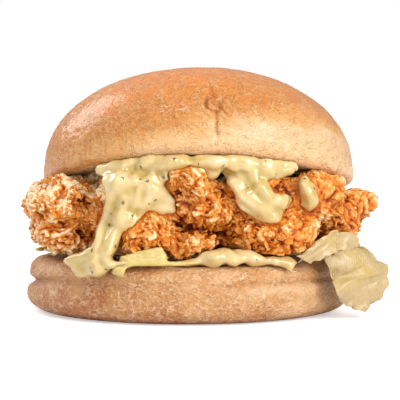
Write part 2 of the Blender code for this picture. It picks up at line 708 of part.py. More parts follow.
def main():
    clear_scene()
    burger = make_collection("chicken_burger", hidden=False)
    cutters = make_collection("cutters", hidden=True)
    heel = build_heel(burger)
    build_crown(burger)
    lettuce = make_material("lettuce_leaf", LETTUCE_COLOUR, 0.4)
    leaves = [
        build_leaf("lettuce_leaf_outer", OUTER_LEAF, burger, lettuce),
        build_leaf("lettuce_leaf_inner", INNER_LEAF, burger, lettuce),
    ]
    fillet, body = build_fillet(burger)
    carve(fillet, leaves, GAP, cutters)
    shreds = build_shreds(burger, cutters, [heel, fillet, *leaves])
    build_sauces(burger, cutters, body, heel, [fillet, shreds, heel, *leaves])


main()
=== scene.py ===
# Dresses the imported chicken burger: baked skin, fried crust, herb mayonnaise and lettuce.
import random
from math import atan2, cos, exp, hypot, inf, pi, radians, sin, sqrt

import bmesh
import bpy
import numpy as np
from mathutils import Matrix, Vector, noise
from mathutils.bvhtree import BVHTree


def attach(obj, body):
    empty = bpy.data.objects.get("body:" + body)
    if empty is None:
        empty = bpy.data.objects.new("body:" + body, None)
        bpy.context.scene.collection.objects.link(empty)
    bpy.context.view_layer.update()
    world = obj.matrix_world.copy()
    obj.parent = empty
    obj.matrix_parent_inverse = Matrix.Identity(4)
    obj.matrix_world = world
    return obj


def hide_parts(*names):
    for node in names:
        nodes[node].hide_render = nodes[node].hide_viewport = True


mm = 0.001
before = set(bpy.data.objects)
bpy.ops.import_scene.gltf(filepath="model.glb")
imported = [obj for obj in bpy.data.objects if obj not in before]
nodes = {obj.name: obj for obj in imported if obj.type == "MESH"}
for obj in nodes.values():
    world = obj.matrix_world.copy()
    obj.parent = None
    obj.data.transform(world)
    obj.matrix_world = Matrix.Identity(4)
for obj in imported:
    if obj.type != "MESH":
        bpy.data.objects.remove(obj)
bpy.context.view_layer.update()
scene = bpy.context.scene
print("frame loaded:", len(nodes), "nodes")


# small helpers

def wobble(point, size, shift=0.0):
    return noise.noise(point / size + Vector((shift, 1.7 * shift, -shift)))


def noiseAt(x, y, z):
    return noise.noise(Vector((x, y, z)))


def layer(point, rule, shift=0.0):  # a wobble of a height and a size
    height, size = rule
    return height * wobble(point, size, shift)


def swirl(point, size, shift=0.0):  # three steady noises in place of one vector noise
    return Vector([wobble(point, size, shift + turn) for turn in (9, 21, 33)])


def ridge(value, sharpness):  # 1 on the line where the noise changes sign, falling to 0 beside it
    return max(0.0, 1 - sharpness * abs(value))


def smoothStep(low, high, value):
    share = min(1.0, max(0.0, (value - low) / (high - low)))
    return share * share * (3 - 2 * share)


def readTriples(items, key):
    flat = np.empty(len(items) * 3, np.float32)
    items.foreach_get(key, flat)
    return flat.reshape(-1, 3).astype(float)


def pointsOf(mesh):
    return readTriples(mesh.vertices, "co")


def normalsOf(mesh):
    return readTriples(mesh.vertex_normals, "vector")


def movePoints(mesh, points):
    mesh.vertices.foreach_set("co", np.asarray(points, np.float32).ravel())
    mesh.update()


def keepValues(mesh, **layers):  # a number for each point, for the material to read
    for name, values in layers.items():
        layer = mesh.attributes.new(name, "FLOAT", "POINT")
        layer.data.foreach_set("value", np.asarray(values, np.float32))


def smoothed(values, mesh, passes):  # spreads a value or a place over the mesh
    edges = np.empty(len(mesh.edges) * 2, np.int32)
    mesh.edges.foreach_get("vertices", edges)
    edges = edges.reshape(-1, 2)
    count = len(mesh.vertices)
    ends = np.concatenate([edges[:, 0], edges[:, 1]])
    others = np.concatenate([edges[:, 1], edges[:, 0]])
    near = np.maximum(np.bincount(ends, minlength=count), 1)
    columns = values.reshape(count, -1).copy()
    for _ in range(passes):
        for c in range(columns.shape[1]):
            total = np.bincount(ends, weights=columns[others, c], minlength=count)
            columns[:, c] = 0.5 * columns[:, c] + 0.5 * total / near
    return columns.reshape(values.shape)


def softened(mesh, passes):  # evens a mesh out, and gives its points and normals
    soft = smoothed(pointsOf(mesh), mesh, passes)
    movePoints(mesh, soft)
    return soft, normalsOf(mesh)


def meshFrom(name, points, faces):
    mesh = bpy.data.meshes.new(name)
    mesh.from_pydata([tuple(p) for p in points], [], faces)
    mesh.validate()
    return mesh


def bakeModifiers(piece):
    bpy.context.view_layer.update()
    graph = bpy.context.evaluated_depsgraph_get()
    mesh = bpy.data.meshes.new_from_object(piece.evaluated_get(graph))
    piece.modifiers.clear()
    piece.data = mesh


def addPiece(name, mesh, material, stoodFor=()):
    piece = bpy.data.objects.new(name, mesh)
    scene.collection.objects.link(piece)
    mesh.materials.clear()
    mesh.materials.append(material)
    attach(piece, "root")
    if stoodFor:
        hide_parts(*stoodFor)
    return piece


def finishPiece(piece):
    piece.data.shade_smooth()
    piece.data.calc_loop_triangles()
    print(" ", piece.name, len(piece.data.loop_triangles), "triangles")
    return piece


def melted(name, node, voxel, material):  # a fine even skin over a copy of a CAD node
    piece = addPiece(name, nodes[node].data.copy(), material, (node,))
    melt = piece.modifiers.new("melt", "REMESH")
    melt.mode = "VOXEL"
    melt.voxel_size = voxel
    bakeModifiers(piece)
    piece.data.materials.clear()
    piece.data.materials.append(material)
    return piece


def treeOf(mesh):
    points = [Vector(p) for p in pointsOf(mesh)]
    return BVHTree.FromPolygons(points, [tuple(f.vertices) for f in mesh.polygons])


# node building

def feed(tree, socket, value):
    if isinstance(value, bpy.types.NodeSocket):
        tree.links.new(value, socket)
    else:
        socket.default_value = value


def put(tree, kind, inputs=None, **settings):
    node = tree.nodes.new(kind)
    for key, value in settings.items():
        setattr(node, key, value)
    for key, value in (inputs or {}).items():
        feed(tree, node.inputs[key], value)
    return node


def ramp(tree, factor, stops):
    node = put(tree, "ShaderNodeValToRGB", {"Fac": factor})
    elements = node.color_ramp.elements
    while len(elements) < len(stops):
        elements.new(0.5)
    for element, (place, colour) in zip(elements, stops):
        element.position = place
        element.color = (*colour, 1)
    return node.outputs["Color"]


def mixed(tree, factor, a, b):
    node = put(tree, "ShaderNodeMix", data_type="RGBA")
    for index, value in ((0, factor), (6, a), (7, b)):
        feed(tree, node.inputs[index], (*value, 1) if isinstance(value, tuple) else value)
    return node.outputs[2]


def sums(tree, operation, a, b=0.5, clamp=False):
    node = put(tree, "ShaderNodeMath", {0: a, 1: b}, operation=operation)
    node.use_clamp = clamp
    return node.outputs[0]


def times(tree, a, b, clamp=False):
    return sums(tree, "MULTIPLY", a, b, clamp)


def plus(tree, a, b, clamp=False):
    return sums(tree, "ADD", a, b, clamp)


def remap(tree, value, low, high, newLow=0.0, newHigh=1.0):
    settings = {"Value": value, "From Min": low, "From Max": high, "To Min": newLow, "To Max": newHigh}
    return put(tree, "ShaderNodeMapRange", settings).outputs["Result"]


def stored(tree, name):
    return put(tree, "ShaderNodeAttribute", attribute_name=name).outputs["Fac"]


def placeOf(tree, scale=(1, 1, 1)):
    coords = put(tree, "ShaderNodeTexCoord").outputs["Object"]
    return put(tree, "ShaderNodeMapping", {"Vector": coords, "Scale": scale}).outputs["Vector"]


def speckle(tree, place, scale, detail=2.0, rough=0.5):
    inputs = {"Vector": place, "Scale": scale, "Detail": detail, "Roughness": rough}
    return put(tree, "ShaderNodeTexNoise", inputs).outputs["Fac"]


def makeGroup(name, inputs, outputs):  # all sockets are numbers, apart from an input with no value
    group = bpy.data.node_groups.new(name, "ShaderNodeTree")
    for socket, value in inputs.items():
        kind = "NodeSocketVector" if value is None else "NodeSocketFloat"
        made = group.interface.new_socket(socket, in_out="INPUT", socket_type=kind)
        if value is not None:
            made.default_value = value
    for socket in outputs:
        group.interface.new_socket(socket, in_out="OUTPUT", socket_type="NodeSocketFloat")
    return group, group.nodes.new("NodeGroupInput").outputs, group.nodes.new("NodeGroupOutput").inputs


def useGroup(tree, group, inputs):
    return put(tree, "ShaderNodeGroup", inputs, node_tree=group).outputs


def makeBreadGrain():  # mottled colour, and the fine raised wrinkles of a baked skin
    group, given, out = makeGroup(
        "breadGrain", {"Place": None, "Patch Scale": 60.0, "Wrinkle Scale": 420.0, "Pit Scale": 1500.0},
        ["Mottle", "Fleck", "Skin"],
    )
    broad = speckle(group, given["Place"], given["Patch Scale"], 5.0, 0.62)
    fine = speckle(group, given["Place"], given["Pit Scale"], 3.0, 0.6)
    lines = speckle(group, given["Place"], given["Wrinkle Scale"])
    broken = speckle(group, given["Place"], times(group, given["Wrinkle Scale"], 0.6))
    fromLine = sums(group, "ABSOLUTE", sums(group, "SUBTRACT", lines, 0.5))
    wrinkle = remap(group, fromLine, 0.0, 0.11, 1.0, 0.0)
    wrinkle = times(group, wrinkle, remap(group, broken, 0.38, 0.6))
    fleck = times(group, remap(group, fine, 0.5, 0.68), 0.6)
    group.links.new(remap(group, broad, 0.32, 0.68), out["Mottle"])
    group.links.new(sums(group, "MAXIMUM", wrinkle, fleck), out["Fleck"])
    group.links.new(plus(group, times(group, wrinkle, 0.7), fine), out["Skin"])
    return group


def makeCrumbGrain():  # granular relief of batter
    group, given, out = makeGroup("crumbGrain", {"Place": None, "Scale": 900.0}, ["Height", "Tone"])
    cells = put(group, "ShaderNodeTexVoronoi", {"Vector": given["Place"], "Scale": given["Scale"]})
    grain = speckle(group, given["Place"], given["Scale"], 4.0, 0.65)
    lumps = remap(group, cells.outputs["Distance"], 0.0, 0.7, 1.0, 0.0)
    group.links.new(plus(group, lumps, grain), out["Height"])
    group.links.new(grain, out["Tone"])
    return group


def makeLeafBlade():  # cells of a leaf and the shade between its ribs
    group, given, out = makeGroup("leafBlade", {"Place": None, "Rib": 0.5}, ["Shade", "Height"])
    cells = put(group, "ShaderNodeTexVoronoi",
                {"Vector": given["Place"], "Scale": 480.0}, feature="DISTANCE_TO_EDGE")
    net = remap(group, cells.outputs["Distance"], 0.0, 0.12, 1.0, 0.0)
    fine = speckle(group, given["Place"], 900.0, 3.0)
    valley = sums(group, "SUBTRACT", 1.0, given["Rib"])
    group.links.new(times(group, valley, remap(group, fine, 0.3, 0.6)), out["Shade"])
    group.links.new(plus(group, given["Rib"], times(group, net, 0.25)), out["Height"])
    return group


breadGrain = makeBreadGrain()
crumbGrain = makeCrumbGrain()
leafBlade = makeLeafBlade()


def makeMaterial(name, constants):
    material = bpy.data.materials.new(name)
    material.use_nodes = True
    shader = material.node_tree.nodes["Principled BSDF"]
    for socket, value in constants.items():
        shader.inputs[socket].default_value = value
    return material, material.node_tree, shader


def finishMaterial(tree, shader, colour, height, strength, distance, roughness=None):
    node = put(tree, "ShaderNodeBump", {"Height": height, "Strength": strength, "Distance": distance})
    tree.links.new(node.outputs["Normal"], shader.inputs["Normal"])
    tree.links.new(colour, shader.inputs["Base Color"])
    if roughness:
        tree.links.new(roughness, shader.inputs["Roughness"])


# the bun's top half

crown = {
    "radius": 55 * mm, "x": 4 * mm, "seat": 48.3 * mm, "dome": 31.8 * mm, "roundness": 2.45,
    "rimUp": 3.7 * mm, "rimIn": 4.6 * mm, "tilt": 0.176, "lean": 0.1, "droop": 5 * mm,
    "uneven": 0.6 * mm, "unevenScale": 26, "navelX": 9.8 * mm, "navelUp": 18.4 * mm,
    "curveSteps": 400, "around": 420, "domeRings": 122, "rimRings": 12, "cutRings": 16,
    "centreHole": 0.3 * mm, "frontCrowding": 0.55,
    "navelReach": 3.6, "hookRadius": 2.9, "seamWidth": 0.42, "seamHollow": 2.4,  # plain numbers of mm
    "navelDepth": 2.0 * mm, "hookDepth": 0.95 * mm, "seamDepth": 1.0 * mm,
    "wrinkleDepth": 0.27 * mm, "leatherSize": 1.7 * mm, "leatherDepth": 0.2 * mm,
    "shoulderAngle": -2.55, "pleatDepth": 0.25 * mm, "cut": (0.25 * mm, 2 * mm),
    "softBroad": (0.14 * mm, 5 * mm), "softFine": (0.08 * mm, 2.2 * mm),
    "toneSlope": 0.38,  # painted light: paler towards the right, where the key lamp falls
    "shader": {"Coat Weight": 0.48, "Coat Roughness": 0.21, "Specular IOR Level": 0.2,
               "Subsurface Weight": 0.05, "Subsurface Scale": 0.003, "Subsurface Radius": (1, 0.4, 0.15)},
    "grain": {"Patch Scale": 75.0, "Wrinkle Scale": 480.0, "Pit Scale": 1300.0}, "stretch": 1.7,
    "baked": [(0.0, (0.80, 0.49, 0.27)), (0.16, (0.69, 0.31, 0.09)), (0.42, (0.53, 0.16, 0.014)),
              (0.75, (0.61, 0.16, 0.0)), (1.0, (0.69, 0.165, 0.0))],
    # raised skin is paler, partly its own colour and partly painted highlight; creases get painted shade
    "mottle": 0.12, "fleck": 0.45, "raised": 0.35, "pale": (0.93, 0.57, 0.24),
    "crease": 0.85, "dark": (0.42, 0.12, 0.01), "roughness": (0.36, 0.5), "bump": 0.7 * mm,
}


def fromAxis(x, y):  # distance from the upright line through the crown's middle
    return hypot(x - crown["x"], y)


def seatHeight(x, y):  # height of the cut face over a spot
    across = (x - crown["x"]) / crown["radius"]
    return crown["seat"] - crown["tilt"] * y - crown["droop"] * across**2


def crownUnderside(x, y):
    out = fromAxis(x, y)
    if out >= crown["radius"]:
        return inf
    share = max(0, out - (crown["radius"] - crown["rimIn"])) / crown["rimIn"]
    return seatHeight(x, y) + crown["rimUp"] * (1 - sqrt(1 - share**2))


def crownProfile():
    radius, rimUp, top = crown["radius"], crown["rimUp"], crown["rimUp"] + crown["dome"]
    power = 2 / crown["roundness"]
    curve = [(crown["centreHole"], top)]
    for i in range(1, crown["curveSteps"]):
        turn = pi / 2 * i / crown["curveSteps"]
        curve.append((radius * sin(turn) ** power, rimUp + crown["dome"] * cos(turn) ** power))
    dense = np.array(curve + [(radius, rimUp)])
    length = np.concatenate([[0], np.cumsum(np.hypot(*np.diff(dense, axis=0).T))])
    even = np.linspace(0, length[-1], crown["domeRings"])
    dome = np.stack([np.interp(even, length, dense[:, k]) for k in (0, 1)], 1)
    rim = []
    for i in range(1, crown["rimRings"] + 1):
        turn = pi / 2 * i / crown["rimRings"]
        rim.append((radius - crown["rimIn"] * (1 - cos(turn)), rimUp * (1 - sin(turn))))
    inner, rings = radius - crown["rimIn"], crown["cutRings"]
    cut = [(inner * (1 - i / rings) + crown["centreHole"], 0) for i in range(1, rings + 1)]
    return np.concatenate([dome, rim, cut])


def ringAngles():  # closer together at the front
    turns = np.linspace(0, 2 * pi, crown["around"], endpoint=False)
    return turns - crown["frontCrowding"] * np.sin(turns) - pi / 2


def turnedMesh(name, profile, angles):
    rings, around = len(profile), len(angles)
    points = [(r * cos(a), r * sin(a), z) for r, z in profile for a in angles]
    faces = []
    for j in range(rings - 1):
        for i in range(around):
            k = (i + 1) % around
            faces.append((j * around + i, (j + 1) * around + i, (j + 1) * around + k, j * around + k))
    points += [(0, 0, profile[0][1]), (0, 0, profile[-1][1])]
    for i in range(around):
        k = (i + 1) % around
        faces.append((len(points) - 2, i, k))
        faces.append((len(points) - 1, (rings - 1) * around + k, (rings - 1) * around + i))
    return meshFrom(name, points, faces)


def crownPlace(point):  # the same skin, tilt and droop as the solid, which has no crease
    moved = point.copy()
    if point.z > 0.1 * mm:
        radius = hypot(point.x, point.y)
        outward = Vector((point.x, point.y, 0)) / max(radius, mm)
        skin = noise.noise(point * crown["unevenScale"] + Vector((5, 0, 1))) * crown["uneven"]
        share = point.z / (crown["rimUp"] + crown["dome"])
        moved += (outward * (1 - share) + Vector((0, 0, share))) * skin
    x, y = moved.x + crown["x"], moved.y
    return Vector((x, y + crown["lean"] * moved.z, moved.z + seatHeight(x, y))), 0


# the dimple and the seam under it: depth in metres, and how deep in a crease the spot is, for painted
# shade, from its place in mm beside and above the dimple's middle, and how far up from the rim it is, 0 to
# 1
def navelRelief(a, up, low):
    meander = 0.5 * noiseAt(0.3, 0, up / 4)
    lump = 0.9 * noiseAt(a / 2.2, up / 2.2, 4)
    reach = exp(-((a / crown["navelReach"]) ** 2) - (up / crown["navelReach"]) ** 2)
    fromRing = hypot(a + 0.4, up + 0.6) - crown["hookRadius"] + 0.5 * lump
    hook = ridge(fromRing / 3, 4.5) * smoothStep(1.2, -1.6, a + 0.4 * up)
    tail = ridge((a - 1.2 + 0.75 * (up + 1.5)) / 2, 4)
    tail *= smoothStep(-0.6, -1.4, up) * smoothStep(-6, -4.4, up)
    stem = ridge((a + 0.6 + 0.35 * (up - 2)) / 2, 3.6) * smoothStep(2, 3.4, up) * smoothStep(8, 5, up)
    below = smoothStep(-1.5, -5, up) * low
    narrow = exp(-(((a - 0.4 - meander) / crown["seamWidth"]) ** 2))
    broad = exp(-(((a - 0.4 - meander) / crown["seamHollow"]) ** 2))
    depth = crown["navelDepth"] * reach * (0.75 - 0.75 * lump)
    depth += crown["hookDepth"] * (hook + 0.8 * tail + 0.45 * stem)
    depth += crown["seamDepth"] * below * (0.62 * narrow + 0.45 * broad)
    crease = 0.8 * reach * max(0, 0.6 - lump) + hook + tail + 0.7 * stem + below * narrow
    return depth, min(1.0, crease)


# all the marks of the crown: depth in metres, how deep in a crease the spot is, for painted shade, and how
# much its skin is raised, for pale skin and painted highlight
def crownRelief(local, place):
    front = local.y < 0
    a = (local.x + crown["x"] - crown["navelX"] if front else 99 * mm) / mm
    up = (local.z - crown["navelUp"]) / mm
    depth, crease = navelRelief(a, up, smoothStep(1.5 * mm, 8 * mm, local.z))
    angle = atan2(local.y, local.x)
    around = angle * 40  # mm along the skin
    near = exp(-((a / 26) ** 2) - ((up + 1) / 11) ** 2) if front else 0
    high = smoothStep(14 * mm, 30 * mm, local.z)
    flow = Vector((around / 5.2, place.z / mm / 0.85 + 0.5 * wobble(place, 6 * mm), local.y / mm / 9))
    lines = ridge(noise.noise(flow), 3.4) ** 2 * smoothStep(-0.1, 0.35, wobble(place, 9 * mm, 5))
    depth -= crown["wrinkleDepth"] * lines * (0.35 + 0.9 * near + 0.5 * high)
    # the left shoulder, where the rim lamp's highlight falls, gets deeper wrinkles and more pale raised
    # skin, a painted highlight
    shoulder = exp(-(((angle - crown["shoulderAngle"]) / 0.5) ** 2))
    shoulder *= smoothStep(4 * mm, 9 * mm, local.z)
    leather = ridge(wobble(place + swirl(place, 4 * mm) * 1.5 * mm, crown["leatherSize"], 40), 2.4)
    raised = leather * (0.35 + 0.65 * shoulder) + lines * (0.3 + 0.7 * near)
    depth -= leather * crown["leatherDepth"] * (0.4 + 0.9 * shoulder)
    low = smoothStep(0.8 * mm, 2.5 * mm, local.z) * smoothStep(9 * mm, 4 * mm, local.z)
    pleat = ridge(noiseAt(around / 1.1, local.z / mm / 7, 8), 2.2)
    depth -= pleat * low * crown["pleatDepth"]
    raised = min(1, raised + 1.2 * pleat * low)
    soft = layer(place, crown["softBroad"], 12) + layer(place, crown["softFine"], 3)
    return depth - soft, crease, raised


def crownMarks(p, q, _):  # depth, baked tone with a painted lit side, crease for painted shade, raised skin for pale skin and painted highlight, and cut face at a spot
    depth, crease, raised = layer(q, crown["cut"]), 0, 0
    if p.z > 0.05 * mm:
        depth, crease, raised = crownRelief(p, q)
    baked = smoothStep(0.0, 1.0, p.z / (crown["rimUp"] + crown["dome"])) + 0.1 * wobble(q, 14 * mm, 2)
    # painted light: the crown's right side is made paler, as if lit by the key lamp
    baked -= crown["toneSlope"] * (p.x / crown["radius"])
    return depth, baked, crease, raised, 1 - smoothStep(0.0, 0.5 * mm, p.z)


def makeBunSkin(name, skin):
    material, tree, shader = makeMaterial(name, skin["shader"])
    grain = useGroup(tree, breadGrain, {"Place": placeOf(tree, (1, 1, skin["stretch"])), **skin["grain"]})
    mottle = remap(tree, grain["Mottle"], 0, 1, -skin["mottle"], skin["mottle"])
    colour = ramp(tree, plus(tree, stored(tree, "baked"), mottle), skin["baked"])
    # pale raised wrinkles: partly the skin's own paler colour, partly painted highlight, strongest on the
    # lit left shoulder
    raised = times(tree, stored(tree, "raised"), skin["raised"])
    colour = mixed(tree, plus(tree, times(tree, grain["Fleck"], skin["fleck"]), raised, clamp=True),
                   colour, skin["pale"])
    # painted shade: darker in the crown's dimple and seam, in the heel's crease and along its foot
    colour = mixed(tree, times(tree, stored(tree, "crease"), skin["crease"]), colour, skin["dark"])
    colour = mixed(tree, stored(tree, "cut"), colour, (0.75, 0.5, 0.27))
    roughness = remap(tree, grain["Mottle"], 0, 1, *skin["roughness"])
    finishMaterial(tree, shader, colour, grain["Skin"], 1.0, skin["bump"], roughness)
    return material


def buildHalf(name, node, profile, place, marks, material):  # turned, put in place, then marked
    mesh = turnedMesh(name, profile, ringAngles())
    local = [Vector(p) for p in pointsOf(mesh)]
    found = [place(p) for p in local]
    points = np.array([moved for moved, _ in found])
    movePoints(mesh, points)
    normals = normalsOf(mesh)
    depth, baked, crease, raised, cut = np.array([marks(p, *spot) for p, spot in zip(local, found)]).T
    movePoints(mesh, points - normals * depth[:, None])
    keepValues(mesh, baked=baked, crease=crease, raised=raised, cut=cut)
    finishPiece(addPiece(name, mesh, material, (node,)))


# the bun's bottom half

heel = {
    "radius": 57 * mm, "height": 19.6 * mm, "footRadius": 47 * mm, "lipRadius": 49.5 * mm,
    "belly": 6 * mm, "shoulder": 14.5 * mm, "creaseUp": 10.6 * mm, "creaseClimb": 2.6 * mm,
    "creaseDepth": 2.6 * mm, "creaseWidth": 1.5 * mm, "wallIn": 0.8 * mm, "bow": 0.5 * mm,
    "centreHole": 0.2 * mm, "topRings": 10, "bendRings": 19, "wallRings": 22, "baseRings": 6,
    "roughBroad": (0.14 * mm, 3.2 * mm), "roughFine": (0.05 * mm, 1.2 * mm), "streakDepth": 0.08 * mm,
    "foldDepth": 0.22 * mm, "pleatDepth": 0.3 * mm,
    "rightDepth": 0.85 * mm, "rightWidth": 0.6 * mm,  # the faint crease at the right
    "shader": {"Coat Weight": 0.1, "Coat Roughness": 0.3,
               "Subsurface Weight": 0.14, "Subsurface Scale": 0.003, "Subsurface Radius": (1, 0.45, 0.2)},
    "grain": {"Patch Scale": 130.0, "Wrinkle Scale": 420.0, "Pit Scale": 1100.0}, "stretch": 1.5,
    "baked": [(0.0, (0.72, 0.43, 0.215)), (0.35, (0.56, 0.27, 0.088)), (0.65, (0.45, 0.175, 0.04)),
              (1.0, (0.37, 0.10, 0.012))],
    # the heel's crease and foot get painted shade
    "mottle": 0.22, "fleck": 0.75, "raised": 0.0, "pale": (0.95, 0.62, 0.365),
    "crease": 0.5, "dark": (0.4, 0.13, 0.03), "roughness": (0.44, 0.6), "bump": 0.8 * mm,
}


def heelProfile():
    radius, height, belly, shoulder = (heel[key] for key in ("radius", "height", "belly", "shoulder"))
    lip, foot, hole = heel["lipRadius"], heel["footRadius"], heel["centreHole"]
    wall = radius - heel["wallIn"]
    points = [(lip * i / heel["topRings"] + hole, height) for i in range(heel["topRings"])]
    for i in range(heel["bendRings"]):
        turn = radians(90 - 5 * i)
        points.append((lip + (wall - lip) * cos(turn), shoulder + (height - shoulder) * sin(turn)))
    for i in range(1, heel["wallRings"]):
        share = i / heel["wallRings"]
        bow = heel["bow"] * sin(pi * share)
        points.append((wall + heel["wallIn"] * share + bow * 0.3, shoulder + (belly - shoulder) * share))
    for i in range(heel["bendRings"]):
        turn = radians(-5 * i)
        points.append((foot + (radius - foot) * cos(turn), belly * (1 + sin(turn))))
    rings = heel["baseRings"]
    points += [(foot * (1 - i / rings) + hole, 0) for i in range(1, rings + 1)]
    return np.array(points)


def heelPlace(point):  # the solid's crease and uneven edge, and how deep in the crease a spot is
    radius = hypot(point.x, point.y)
    if radius < heel["lipRadius"] - mm and point.z < mm or radius < mm:
        return point, 0
    angle = atan2(point.y, point.x)
    strength = 0.12 + 0.88 * max(0, -cos(angle)) ** 4 + 0.4 * max(0, cos(angle)) ** 4
    fromLeft = pi - abs(angle)
    level = heel["creaseUp"] + heel["creaseClimb"] * (1 - exp(-((fromLeft / 0.45) ** 2)))
    share = exp(-(((point.z - level) / heel["creaseWidth"]) ** 2))
    around = Vector((point.x, point.y, 0)) / radius
    lump = noise.noise(around * 2.3 + Vector((3, 1, point.z * 40))) * 0.9 * mm
    side = min(1, max(0, (radius - heel["footRadius"] + 6 * mm) / (12 * mm)))
    moved = point + around * (side * lump - strength * heel["creaseDepth"] * share)
    top = max(0, (point.z - heel["belly"]) / (heel["height"] - heel["belly"]))
    moved.z += side * top * 0.7 * mm * noise.noise(around * 2.8 + Vector((0, 7, 2)))
    return moved, strength * share


def heelMarks(p, q, inCrease):  # depth, baked tone with painted light and shade, and crease for painted shade at a spot: nothing raised, no cut face
    wall = smoothStep(0.2 * mm, 2.5 * mm, p.z)
    angle, up, over = atan2(q.y, q.x), q.z / mm, p.z - heel["creaseUp"] - heel["creaseClimb"]
    rough = layer(q, heel["roughBroad"]) + layer(q, heel["roughFine"])
    rough += heel["streakDepth"] * noiseAt(angle * 26, up / 5, 0)
    folds = ridge(noiseAt(angle * 5, up / 0.9, 2), 3) ** 2
    pleat = ridge(noiseAt(angle * 40, up / 6, 11), 2.2) * max(0, -cos(angle + 0.35)) ** 5
    right = smoothStep(8 * mm, 30 * mm, q.x) * smoothStep(10 * mm, -10 * mm, q.y)
    depth = wall * (heel["foldDepth"] * folds * (0.25 + inCrease) + heel["pleatDepth"] * pleat - rough)
    depth += right * heel["rightDepth"] * exp(-((over / heel["rightWidth"]) ** 2))
    height = p.z / heel["height"]
    # painted light: paler towards the right, where the key lamp falls
    baked = 0.5 - 0.25 * q.x / heel["radius"] + 0.4 * (0.45 - height)
    baked += 0.35 * wobble(q, 9 * mm, 4) + 0.2 * smoothStep(0.15, 0.0, height)
    # painted highlight: a pale lip just under the faint crease on the right, with a darker band above it
    baked -= right * 0.42 * exp(-(((over + 1.7 * mm) / (1.4 * mm)) ** 2))
    baked += right * 0.2 * exp(-(((over - 1.8 * mm) / (1.8 * mm)) ** 2))
    # painted shade: much darker along the foot, where the bun meets the floor
    baked += 0.6 * smoothStep(2.0 * mm, 0.5 * mm, p.z)
    return depth, baked, min(1, inCrease + 1.5 * smoothStep(1.3 * mm, 0.3 * mm, p.z)), 0, 0


# the fried fillet

crust = {
    "voxel": 0.88 * mm, "hiddenRadius": 40 * mm, "kept": 0.84, "swirlSize": 7 * mm, "swirlReach": 3.2 * mm,
    "grain": (0.12 * mm, 0.8 * mm), "clump": (1.0 * mm, 5.5 * mm), "bead": (0.65 * mm, 1.2 * mm),
    "knob": (0.95 * mm, 3.9 * mm), "dimple": (0.4 * mm, 1.5 * mm), "frill": (0.6 * mm, 1.25 * mm),
    "pocketSize": 3.5 * mm, "pocketDepth": 2.1 * mm, "foldSize": 5.5 * mm, "foldHeight": 1.25 * mm,
    "layers": 3.8, "breakSize": 2.4 * mm,
    "curl": 0.35 * mm, "curlSize": 2.4 * mm, "sink": 1.6 * mm, "sag": 2.0 * mm,
    "topRadius": 49 * mm, "bottomUp": 26 * mm, "floorUp": 21.6 * mm, "markedFrom": -20 * mm,
    "room": 0.25 * mm, "looseRoom": 0.3 * mm,  # kept free under the crown
    # the tone's painted light: paler on ridges, high relief, up-facing spots and the top of the left chunk,
    # darker in creases, hollows and pushed-in marks
    "tone": {"base": 0.46, "ridge": 0.3, "crease": 0.8, "hollow": 0.25, "relief": 0.11, "middle": 1.6,
             "patch": 0.15, "mark": 0.12, "up": 0.11, "leftTop": 0.42, "left": 0.12, "right": 0.09},
    "flakes": 420, "flakeGrid": (6, 4), "flakeTone": (0.28, 0.52),
    "flakeLength": (1.8, 3.4), "flakeWidth": (1.6, 3), "flakeThickness": (0.35, 0.6),
    "crumbs": 1150, "crumbSize": (0.3, 0.7), "crumbTone": (0.4, 0.82),
    "marks": [  # x, z, half width and half height in mm, depth in mm (a lump where below 0)
        (-36.0, 40.9, 2.8, 2.2, 2.6), (-42.3, 44.5, 1.5, 1.9, 1.8), (-34.6, 46.2, 1.4, 1.0, 1.5),
        (-34.3, 29.2, 4.4, 1.6, 2.6), (31.5, 46.9, 1.9, 3.0, 2.8), (-3.5, 32.8, 3.0, 1.5, 1.5),
        (2.5, 31.6, 3.4, 1.2, 2.2), (8.5, 30.6, 3.4, 1.2, 2.4), (14.5, 30.0, 3.4, 1.3, 2.2),
        (-3.2, 45.9, 1.6, 2.2, 2.0), (12.1, 46.2, 1.4, 2.4, 1.6),
        (-47.0, 37.0, 1.6, 2.2, 1.6), (-28.5, 33.5, 2.0, 2.4, 1.8), (23.0, 33.5, 2.2, 1.2, 1.6),
        (41.0, 29.0, 4.0, 3.0, -0.8), (46.8, 34.0, 2.8, 3.6, -5.0),
    ],
}


def crustKinds(p):  # how much of the batter is pocketed, knobby or frilled at a spot
    side = p.x / mm
    pocketed = smoothStep(0.0, 0.22, wobble(p, 26 * mm, 3) - 0.008 * (side + 8))
    knobby = smoothStep(0.0, 0.22, wobble(p, 26 * mm, 31) + 0.018 * (side - 24)) * (1 - pocketed)
    return pocketed, knobby, 1 - pocketed - knobby


def pillow(value, lift=0.7):  # rounded tops with sharp creases where the noise changes sign
    return min(1, 3 * abs(value)) ** lift


def mound(point, rule, shift, lift=0.7):
    height, size = rule
    return height * pillow(wobble(point, size, shift), lift)


def shingle(value):  # slow rise and sharp drop, like scraps of batter that overlap
    share = value % 1
    return share**0.7 * (1 - smoothStep(0.84, 1.0, share))


